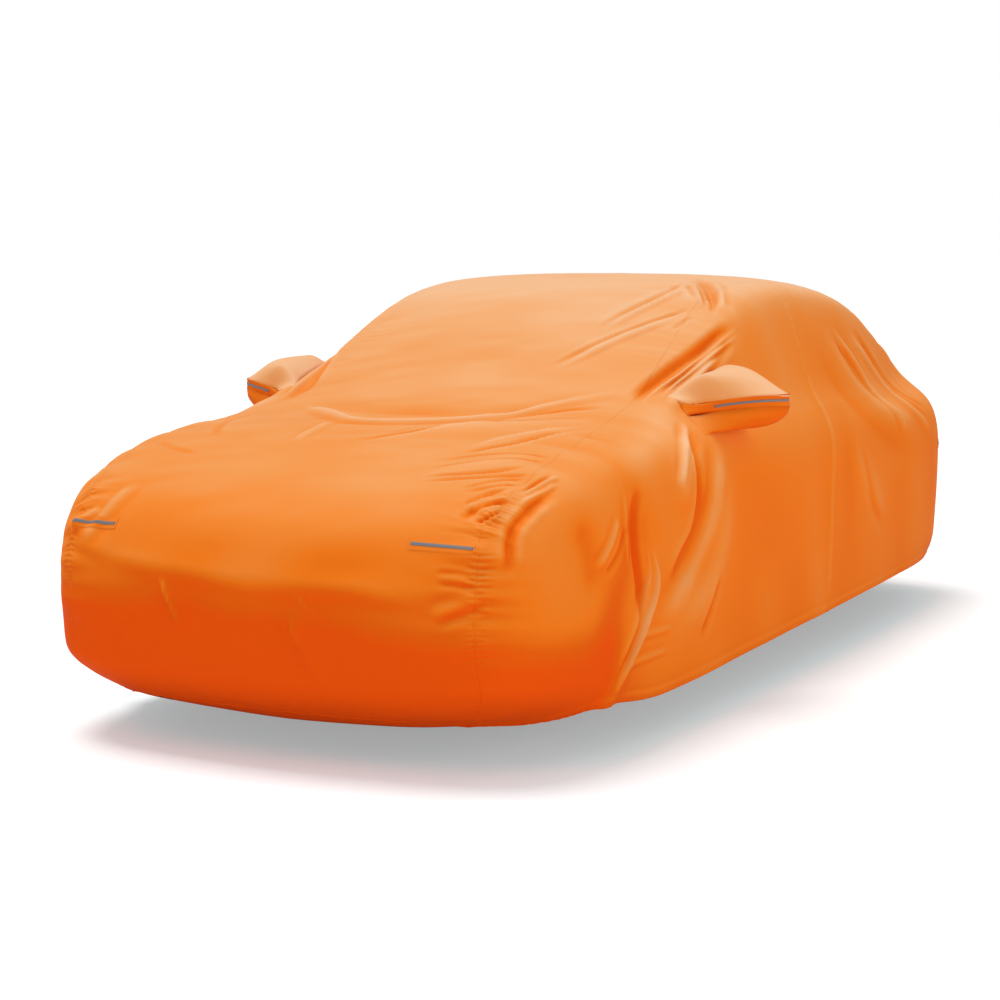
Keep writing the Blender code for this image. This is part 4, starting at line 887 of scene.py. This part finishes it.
# A grid with one more row or column, which turns its edge in.
def turnedIn(points, normals, axis, end, depth):
    edge = np.take(points, [end], axis) - np.take(normals, [end], axis) * depth
    turned = np.take(normals, [end], axis)
    parts = ((edge, turned), (points, normals)) if end == 0 else ((points, normals), (edge, turned))
    return tuple(np.concatenate([part[i] for part in parts], axis=axis) for i in (0, 1))


def turnedInAround(points, normals, depth):
    for axis in (0, 1):
        for end in (0, -1):
            points, normals = turnedIn(points, normals, axis, end, depth)
    return points


def padded(values, rowsBefore, rowsAfter, columns):
    return np.pad(values, ((rowsBefore, rowsAfter), (columns, columns)), mode="edge")


# A sheet on a grid of points, with a UV map in metres and a layer of painted shading that says how pale each
# place is painted.
def makeSheet(name, points, paintedShading, material, hole=None, flip=False):
    rows, cells = points.shape[0] - 1, points.shape[1] - 1
    mesh = bmesh.new()
    bmesh.ops.create_grid(mesh, x_segments=cells, y_segments=rows, size=0.5)
    if hole:
        (low, high), (first, last) = hole
        cut = []
        for face in mesh.faces:
            center = face.calc_center_median()
            row, column = (center.y + 0.5) * rows, (center.x + 0.5) * cells
            if low < row < high and first < column < last:
                cut.append(face)
        bmesh.ops.delete(mesh, geom=cut, context="FACES")
    if flip:
        bmesh.ops.reverse_faces(mesh, faces=mesh.faces[:])
    data = bpy.data.meshes.new(name)
    mesh.to_mesh(data)
    mesh.free()
    flat = np.zeros(len(data.vertices) * 3, np.float32)
    data.vertices.foreach_get("co", flat)
    flat = flat.reshape(-1, 3)
    row = np.rint((flat[:, 1] + 0.5) * rows).astype(int)
    column = np.rint((flat[:, 0] + 0.5) * cells).astype(int)
    placed = points[row, column] - carRoof
    data.vertices.foreach_set("co", placed.astype(np.float32).ravel())
    layer = data.attributes.new("paintedShading", "FLOAT", "POINT")
    layer.data.foreach_set("value", np.clip(paintedShading[row, column], 0.0, 1.0).astype(np.float32))
    wide, long = gridDistances(points)
    corners = np.zeros(len(data.loops), np.int32)
    data.loops.foreach_get("vertex_index", corners)
    pairs = stacked(wide[row, column], long[row, column])[corners]
    uv = data.uv_layers.new(name="cloth")
    uv.data.foreach_set("uv", pairs.astype(np.float32).ravel())
    data.update()
    data.shade_smooth()
    data.materials.append(material)
    sheet = bpy.data.objects.new(name, data)
    bpy.context.collection.objects.link(sheet)
    return sheet


def stand(sheet, node):
    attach(sheet, "root")
    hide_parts(node)
    return sheet


# Grid values at whole or part rows and columns.
def between(grid, row, column):
    row, column = np.broadcast_arrays(np.asarray(row, float), np.asarray(column, float))
    i = np.clip(row.astype(int), 0, grid.shape[0] - 2)
    j = np.clip(column.astype(int), 0, grid.shape[1] - 2)
    a, b = (row - i)[..., None], (column - j)[..., None]
    lower = grid[i, j] * (1 - b) + grid[i, j + 1] * b
    upper = grid[i + 1, j] * (1 - b) + grid[i + 1, j + 1] * b
    return lower * (1 - a) + upper * a


# A strip laid on part of a sheet, a lift above it, with its edges turned down to the sheet.
stripEdge = 0.9                         # how far down, in lifts


def laidStrip(name, grid, normals, rows, columns, lift, material, flip):
    rows, columns = np.asarray(rows)[:, None], np.asarray(columns)[None, :]
    points, out = between(grid, rows, columns), unit(between(normals, rows, columns))
    points = points + out * lift
    # Painted shading of the laid piece, by the way it faces and its height.
    paintedShading = padded(paintedShadingOf(points, 0.0, out), 1, 1, 1)
    return makeSheet(name, turnedInAround(points, out, lift * stripEdge), paintedShading, material, flip=flip)


# Painted shading: colours of the cloth from painted deep shade over its sides to a painted pale highlight on
# the open top, standing in for how satin turns paler in the light.
clothLook = {"paintedShadingLevels": [(0.0, (0.84, 0.088, 0.004)), (0.18, (0.80, 0.118, 0.005)),
                       (0.36, (0.88, 0.190, 0.011)), (0.52, (0.87, 0.245, 0.035)),
                       (0.68, (0.85, 0.315, 0.085)), (0.84, (0.87, 0.400, 0.160)),
                       (1.0, (0.88, 0.495, 0.265))],
             "roughness": 0.45, "ior": 1.30, "gloss": 0.01, "weave": 0.0009, "weaveDepth": 0.00005,
             "weaveStrength": 0.25}
tapeLook = {"color": (0.21, 0.20, 0.205), "dark": (0.14, 0.135, 0.14), "roughness": 0.5, "bead": 0.0012}


def makeNodes(material):
    material.use_nodes = True
    nodes, links = material.node_tree.nodes, material.node_tree.links
    return nodes, links, nodes["Principled BSDF"]


def setInputs(node, **values):
    for key, value in values.items():
        node.inputs[key.replace("_", " ")].default_value = value


# A fine check in the cloth's own metres, for the weave and for the tape's beads.
def fineCheck(nodes, links, size):
    uv, check = nodes.new("ShaderNodeUVMap"), nodes.new("ShaderNodeTexChecker")
    uv.uv_map = "cloth"
    setInputs(check, Scale=1.0 / size)
    links.new(uv.outputs["UV"], check.inputs["Vector"])
    return check


def orangeCloth():
    material = bpy.data.materials.new("orange_cloth")
    nodes, links, shader = makeNodes(material)
    paintedShading = nodes.new("ShaderNodeAttribute")
    paintedShading.attribute_name = "paintedShading"
    # The ramp turns the painted shading into colour, from painted shade to painted highlight.
    ramp = nodes.new("ShaderNodeValToRGB")
    stops = ramp.color_ramp.elements
    for i, (place, color) in enumerate(clothLook["paintedShadingLevels"]):
        stop = stops[i] if i < 2 else stops.new(place)
        stop.position, stop.color = place, color + (1,)
    links.new(paintedShading.outputs["Fac"], ramp.inputs["Fac"])
    links.new(ramp.outputs["Color"], shader.inputs["Base Color"])
    setInputs(shader, Roughness=clothLook["roughness"], IOR=clothLook["ior"],
              Specular_IOR_Level=clothLook["gloss"])
    weave, bump = fineCheck(nodes, links, clothLook["weave"]), nodes.new("ShaderNodeBump")
    setInputs(bump, Strength=clothLook["weaveStrength"], Distance=clothLook["weaveDepth"])
    links.new(weave.outputs["Fac"], bump.inputs["Height"])
    links.new(bump.outputs["Normal"], shader.inputs["Normal"])
    return material


def reflectiveTape():
    material = bpy.data.materials.new("reflective_tape")
    nodes, links, shader = makeNodes(material)
    beads = fineCheck(nodes, links, tapeLook["bead"])
    setInputs(beads, Color1=tapeLook["color"] + (1,), Color2=tapeLook["dark"] + (1,))
    links.new(beads.outputs["Color"], shader.inputs["Base Color"])
    setInputs(shader, Roughness=tapeLook["roughness"])
    return material


cloth, tape = orangeCloth(), reflectiveTape()
print("cloth and tape mixed")
allowance = 0.006                       # cloth turned in at a panel's seams
hemSeeds = {"front": 60, "rear": 61, "side": 50}


def makeCenter():
    points = centerPoints()
    plain, normals, folds, shade = lifted(points, True)
    _, up = gridDistances(points)
    plain = withHem(plain, normals, points[0], up, hemSeeds["front"])
    plain = withHem(plain, normals, points[-1], up[-1] - up, hemSeeds["rear"])
    # Painted shading: painted light and shade by facing, height and folds, with the painted bands.
    paintedShading = paintedShadingOf(plain, folds, normals) + shade
    rolled, normals = rolledHem(plain, normals, (0, -1))
    for end in (0, -1):
        rolled, normals = turnedIn(rolled, normals, 1, end, allowance)
    sheet = makeSheet("center_cloth", rolled, padded(paintedShading, hemRows, hemRows, 1), cloth, flip=True)
    stand(sheet, "center_panel")
    return sheet, plain


def nearest(places, place):
    return int(np.argmin(np.abs(places - place)))


# A side panel is worked as one and parted at the side seam. Its front part is open behind the mirror pocket.
def makeSide(side, word):
    points = sidePoints(side)
    seam = nearest(columnPlaces, sideSeam)
    plain, normals, folds, shade = lifted(points, False, (smoothPath(points[::8, seam], steps=4),))
    _, up = gridDistances(points)
    plain = withHem(plain, normals, points[0], up, hemSeeds["side"] + side)
    # Painted shading: painted light and shade by facing, height and folds, with the painted bands.
    paintedShading = padded(paintedShadingOf(plain, folds, normals) + shade, hemRows, 1, 0)
    rolled, normals = rolledHem(plain, normals, (0,))
    rolled, normals = turnedIn(rolled, normals, 0, -1, allowance)
    columns = [nearest(columnPlaces, stationAt[key]) for key in ("mirror front", "mirror back")]
    rows = [nearest(rowPlaces, row) for row in mirrorRows]
    mirrorHole = ((rows[0] + hemRows, rows[-1] + hemRows), (columns[0] + 1, columns[-1] + 1))
    sheets = []
    for part, block, hole in (("front", slice(0, seam + 1), mirrorHole), ("rear", slice(seam, None), None)):
        sub, out = rolled[:, block], normals[:, block]
        for end in (0, -1):
            sub, out = turnedIn(sub, out, 1, end, allowance)
        paintedShadingLevels = padded(paintedShading[:, block], 0, 0, 1)
        sheet = makeSheet(f"side_{part}_cloth_{word}", sub, paintedShadingLevels, cloth, hole=hole, flip=side == right)
        sheets.append(stand(sheet, f"side_{part}_{word}"))
    return sheets, plain, rows, columns


# The mirror pocket in plan, around its gusset from the front foot to the back foot: out, y, z.
pocketPlan = [(0.00, -0.650, 0.948), (0.030, -0.620, 0.953), (0.095, -0.590, 0.965), (0.185, -0.535, 0.976),
              (0.243, -0.452, 0.975), (0.213, -0.380, 0.972), (0.11, -0.352, 0.967), (0.00, -0.345, 0.962)]
# The pocket's parts are painted: painted shade on the underside and the gusset, and a painted highlight on
# the domed top.
pocket = {"gusset": 0.034, "dome": 0.056, "domeLean": 1.25, "belly": 0.036, "bellyLean": 0.6, "puff": 0.011,
          "fullFrom": 0.12, "cells": 120, "seamTurn": 8, "footTurn": 12, "allowance": 0.004,
          "paintedShadingLevels": {"under": -0.04, "gusset": -0.10, "top": 0.30},
          "groove": 0.0012, "grooveWidth": 0.003, "gather": 0.0008, "gatherPitch": 0.016, "gatherCell": 0.05,
          "gatherReach": 0.018, "gatherFall": 1.2, "gatherStart": 0.004, "strength": 0.6, "strengthBy": 0.6,
          "strengthCell": 0.07, "seed": 3, "gussetGather": 0.35,
          "stripLow": 0.40, "stripHigh": 0.62, "stripNear": 0.125, "stripFar": 0.558, "stripLift": 0.0016,
          "stripRows": 4, "stripColumns": 90}


# A line of points with its small waves taken out. Its ends stay.
def evened(line, rounds=60):
    line = line.copy()
    for _ in range(rounds):
        line[1:-1] = (line[:-2] + 2 * line[1:-1] + line[2:]) / 4
    return line


# Grids of the underside, the gusset and the domed top, each between two edges of the pocket.
def pocketPoints(side, panel, rows, mirrorColumns):
    first, last = mirrorColumns
    low, gussetLow, gussetHigh, high = rows
    cells = pocket["cells"]
    places = np.linspace(first, last, cells + 1)
    path = smoothPath(pocketPlan)
    length = arcLength(path)
    path = along(path, length, np.linspace(0.0, length[-1], cells + 1))
    foot = np.linspace(panel[gussetLow, first], panel[gussetLow, last], cells + 1)
    center = stacked(foot[:, 0] + side * path[:, 0], path[:, 1], path[:, 2])
    up = np.array((0.0, 0.0, pocket["gusset"] / 2))
    edgeLow, edgeHigh = center - up, center + up
    for column, place in ((0, first), (-1, last)):
        edgeLow[column], edgeHigh[column] = panel[gussetLow, place], panel[gussetHigh, place]
    full = ease(path[:, 0] / pocket["fullFrom"])[None, :, None]
    puff = side * pocket["puff"]
    c = np.linspace(0.0, 1.0, cells + 1)[None, :, None]
    blocks = []
    for start, end, rowA, rowB, lift in (
            (between(panel, low, places), edgeLow, low, gussetLow, (puff, 0.0, -pocket["belly"])),
            (edgeLow, edgeHigh, gussetLow, gussetHigh, (0.0, 0.0, 0.0)),
            (edgeHigh, between(panel, high, places), gussetHigh, high, (puff, 0.0, pocket["dome"]))):
        t = np.linspace(0.0, 1.0, rowB - rowA + 1)[:, None, None]
        evenStart, evenEnd = evened(start), evened(end)
        bulge = np.sin(np.pi * (t ** pocket["domeLean"] if lift[2] > 0.0 else (1 - t) ** pocket["bellyLean"]))
        block = evenStart * (1 - t) + evenEnd * t + full * bulge * lift
        block = block + (start - evenStart) * (1 - t) ** pocket["seamTurn"]
        block = block + (end - evenEnd) * t ** pocket["seamTurn"]
        for column, place, fade in ((0, first, 1 - c), (-1, last, c)):
            gap = (panel[rowA:rowB + 1, place] - block[:, column])[:, None]
            block = block + gap * fade ** pocket["footTurn"]
        blocks.append(block)
    return blocks


def pocketGather(s, d, seed):
    strength = pocket["strength"] + pocket["strengthBy"] * lineNoise(s, pocket["strengthCell"], seed + 1)
    wave = wandering(s, pocket["gatherPitch"], pocket["gatherCell"], seed)
    fall = swell(d, pocket["gatherReach"], pocket["gatherFall"]) * ease(d / pocket["gatherStart"])
    return pocket["gather"] * strength * wave * fall


def makePocket(side, word, panel, rows, mirrorColumns):
    blocks = pocketPoints(side, panel, rows, mirrorColumns)
    sheets = []
    for part, block in zip(("under", "gusset", "top"), blocks):
        normals = gridNormals(block, side)
        t = np.linspace(0.0, 1.0, len(block))[:, None]
        # Each seam round the gusset is a groove, and the gathers run away from it.
        edges = {"under": (t[::-1],), "gusset": (t, t[::-1]), "top": (t,)}[part]
        height = np.linalg.norm(block[-1] - block[0], axis=-1)[None, :]
        lift = sum(-pocket["groove"] * swell(edge * height, pocket["grooveWidth"]) for edge in edges)
        s = arcLength(block[0] if part == "top" else block[-1])[None, :]
        share = pocket["gussetGather"] if part == "gusset" else 1.0
        lift = lift + pocketGather(s, edges[0] * height, side + pocket["seed"]) * share
        points = block + normals * lift[..., None]
        # Painted shading of this part: painted light and shade by facing and folds, with the part's own
        # painted offset.
        paintedShading = padded(paintedShadingOf(points, lift, normals) + pocket["paintedShadingLevels"][part], 1, 1, 1)
        points = turnedInAround(points, normals, pocket["allowance"])
        sheet = makeSheet(f"mirror_{part}_cloth_{word}", points, paintedShading, cloth, flip=side == right)
        sheets.append(stand(sheet, f"mirror_{part}_{word}"))
    gusset = blocks[1]
    rows = np.linspace(pocket["stripLow"], pocket["stripHigh"], pocket["stripRows"]) * (len(gusset) - 1)
    columns = np.linspace(pocket["stripNear"], pocket["stripFar"], pocket["stripColumns"]) * pocket["cells"]
    strip = laidStrip(f"mirror_tape_{word}", gusset, gridNormals(gusset, side), rows, columns,
                      pocket["stripLift"], tape, side == right)
    stand(strip, f"mirror_strip_{word}")
    return sheets, strip


# Corner patches with a strip along their middle. Rows and columns are those of the solids' grids.
patches = {"front": {"rows": (9.90, 10.60), "columns": (0.15, 2.90)},
           "rear": {"rows": (7.25, 7.85), "columns": (1.10, 3.40)}}
patchLook = {"lift": 0.0016, "stripLift": 0.0030, "stripPart": (0.34, 0.64), "stripInset": 0.1,
             "rowCells": 14, "stripCells": 4, "columnCells": 80}
solidCenterCells, solidCenterColumns = 20, int(stationIndex[-1])


def makePatch(place, side, word, grid, normals, rowAt, columnAt, flip):
    (rowLow, rowHigh), (near, far) = patches[place]["rows"], patches[place]["columns"]
    cells, lift, stripLift = patchLook["columnCells"], patchLook["lift"], patchLook["stripLift"]
    rows = rowAt(np.linspace(rowLow, rowHigh, patchLook["rowCells"] + 1))
    columns = columnAt(np.linspace(near, far, cells + 1))
    patch = laidStrip(f"{place}_patch_cloth_{word}", grid, normals, rows, columns, lift, cloth, flip)
    stand(patch, f"{place}_patch_{word}")
    low, high = (rowLow + (rowHigh - rowLow) * part for part in patchLook["stripPart"])
    rows = rowAt(np.linspace(low, high, patchLook["stripCells"] + 1))
    inset = patchLook["stripInset"]
    columns = columnAt(np.linspace(near + inset, far - inset, cells + 1))
    strip = laidStrip(f"{place}_tape_{word}", grid, normals, rows, columns, stripLift, tape, flip)
    stand(strip, f"{place}_strip_{word}")
    return patch, strip


# The fine row or column that stands at a row or column of the solids.
def centerRowAt(rows):
    return np.interp(rows, centerRows, np.arange(len(centerRows)))


def centerColumnAt(side):
    def columnAt(columns):
        across = -1 + np.asarray(columns) / (solidCenterCells / 2)
        if side == left:
            across = -across[::-1]
        return np.interp(across, acrossPlaces, np.arange(len(acrossPlaces)))
    return columnAt


def sideRowAt(rows):
    return np.interp(rows, rowPlaces, np.arange(len(rowPlaces)))


def sideColumnAt(columns):
    fromRear = solidCenterColumns - np.asarray(columns)[::-1]
    return np.interp(fromRear, columnPlaces, np.arange(len(columnPlaces)))


centerSheet, centerGrid = makeCenter()
print("middle panel sewn")
centerNormals = turnedTo(gridNormals(centerGrid, 1), centerGrid - spineFront)

for side, word in ((left, "left"), (right, "right")):
    (front, rear), grid, rows, mirrorColumns = makeSide(side, word)
    (under, gusset, top), mirrorTape = makePocket(side, word, grid, rows, mirrorColumns)
    normals = gridNormals(grid, side)
    frontPatch, frontTape = makePatch("front", side, word, centerGrid, centerNormals,
                                      centerRowAt, centerColumnAt(side), True)
    rearPatch, rearTape = makePatch("rear", side, word, grid, normals, sideRowAt, sideColumnAt, side == right)
    print(word, "side, mirror pocket and patches sewn")

# The studio: a white floor and backdrop, a broad sun and two softboxes.
studio = {"floorSize": 60.0, "floor": (0.80, 0.81, 0.81), "floorRoughness": 0.9, "floorGlow": 0.34,
          "glowColor": (0.80, 0.95, 0.98), "sky": 0.495, "backdrop": 1.0,
          "key": 1.85, "keyAngle": 30.0, "keyFrom": (-0.26, 0.06, 0.94),
          "softboxes": (("side softbox", 102.0, (7.0, -1.5, 0.4), (0.9, -0.3, -0.8), (4.5, 2.6)),
                        ("front softbox", 42.0, (0.5, -7.5, -0.3), (0.2, -2.4, -0.8), (4.0, 1.5))),
          "cameraPlace": (3.374, -7.600, 0.0997), "yaw": 26.61, "pitch": 6.49, "lens": 80.0}


def put(name, data, place=(0, 0, 0), turn=(0, 0, 0)):
    thing = bpy.data.objects.new(name, data)
    thing.location, thing.rotation_euler = place, turn
    bpy.context.collection.objects.link(thing)
    return thing


def facing(direction):
    return Vector(direction).to_track_quat("Z", "Y").to_euler()


# A value that the camera sees and another for all other rays.
def seenAndLit(nodes, links, lit, seen, socket):
    rays, level = nodes.new("ShaderNodeLightPath"), nodes.new("ShaderNodeMapRange")
    setInputs(level, To_Min=lit, To_Max=seen)
    links.new(rays.outputs["Is Camera Ray"], level.inputs["Value"])
    links.new(level.outputs["Result"], socket)


def makeFloor():
    mesh = bmesh.new()
    bmesh.ops.create_grid(mesh, x_segments=1, y_segments=1, size=studio["floorSize"])
    data = bpy.data.meshes.new("floor")
    mesh.to_mesh(data)
    mesh.free()
    floor = put("floor", data, (0.0, 0.0, -carRoof[2]))
    material = bpy.data.materials.new("studio_floor")
    nodes, links, shader = makeNodes(material)
    setInputs(shader, Base_Color=studio["floor"] + (1,), Roughness=studio["floorRoughness"],
              Emission_Color=studio["glowColor"] + (1,))
    # The glow that keeps the shadow pale shows to the camera alone and doesn't light the cloth.
    seenAndLit(nodes, links, 0.0, studio["floorGlow"], shader.inputs["Emission Strength"])
    data.materials.append(material)


def makeSky():
    world = bpy.data.worlds.new("studio")
    bpy.context.scene.world = world
    world.use_nodes = True
    nodes, links = world.node_tree.nodes, world.node_tree.links
    setInputs(nodes["Background"], Color=(1, 1, 1, 1))
    seenAndLit(nodes, links, studio["sky"], studio["backdrop"], nodes["Background"].inputs["Strength"])


def makeLights():
    key = bpy.data.lights.new("key", "SUN")
    key.energy, key.angle = studio["key"], np.radians(studio["keyAngle"])
    put("key", key, turn=facing(studio["keyFrom"]))
    for name, energy, place, target, sides in studio["softboxes"]:
        softbox = bpy.data.lights.new(name, "AREA")
        softbox.shape, softbox.energy = "RECTANGLE", energy
        softbox.size, softbox.size_y = sides
        put(name, softbox, place, facing(Vector(place) - Vector(target)))


def makeCamera():
    camera = bpy.data.cameras.new("camera")
    camera.lens = studio["lens"]
    turn = np.radians((90.0 - studio["pitch"], 0.0, studio["yaw"]))
    bpy.context.scene.camera = put("camera", camera, studio["cameraPlace"], turn)
    bpy.context.scene.view_settings.view_transform = "Standard"


makeFloor()
makeSky()
makeLights()
makeCamera()
print("studio lit")
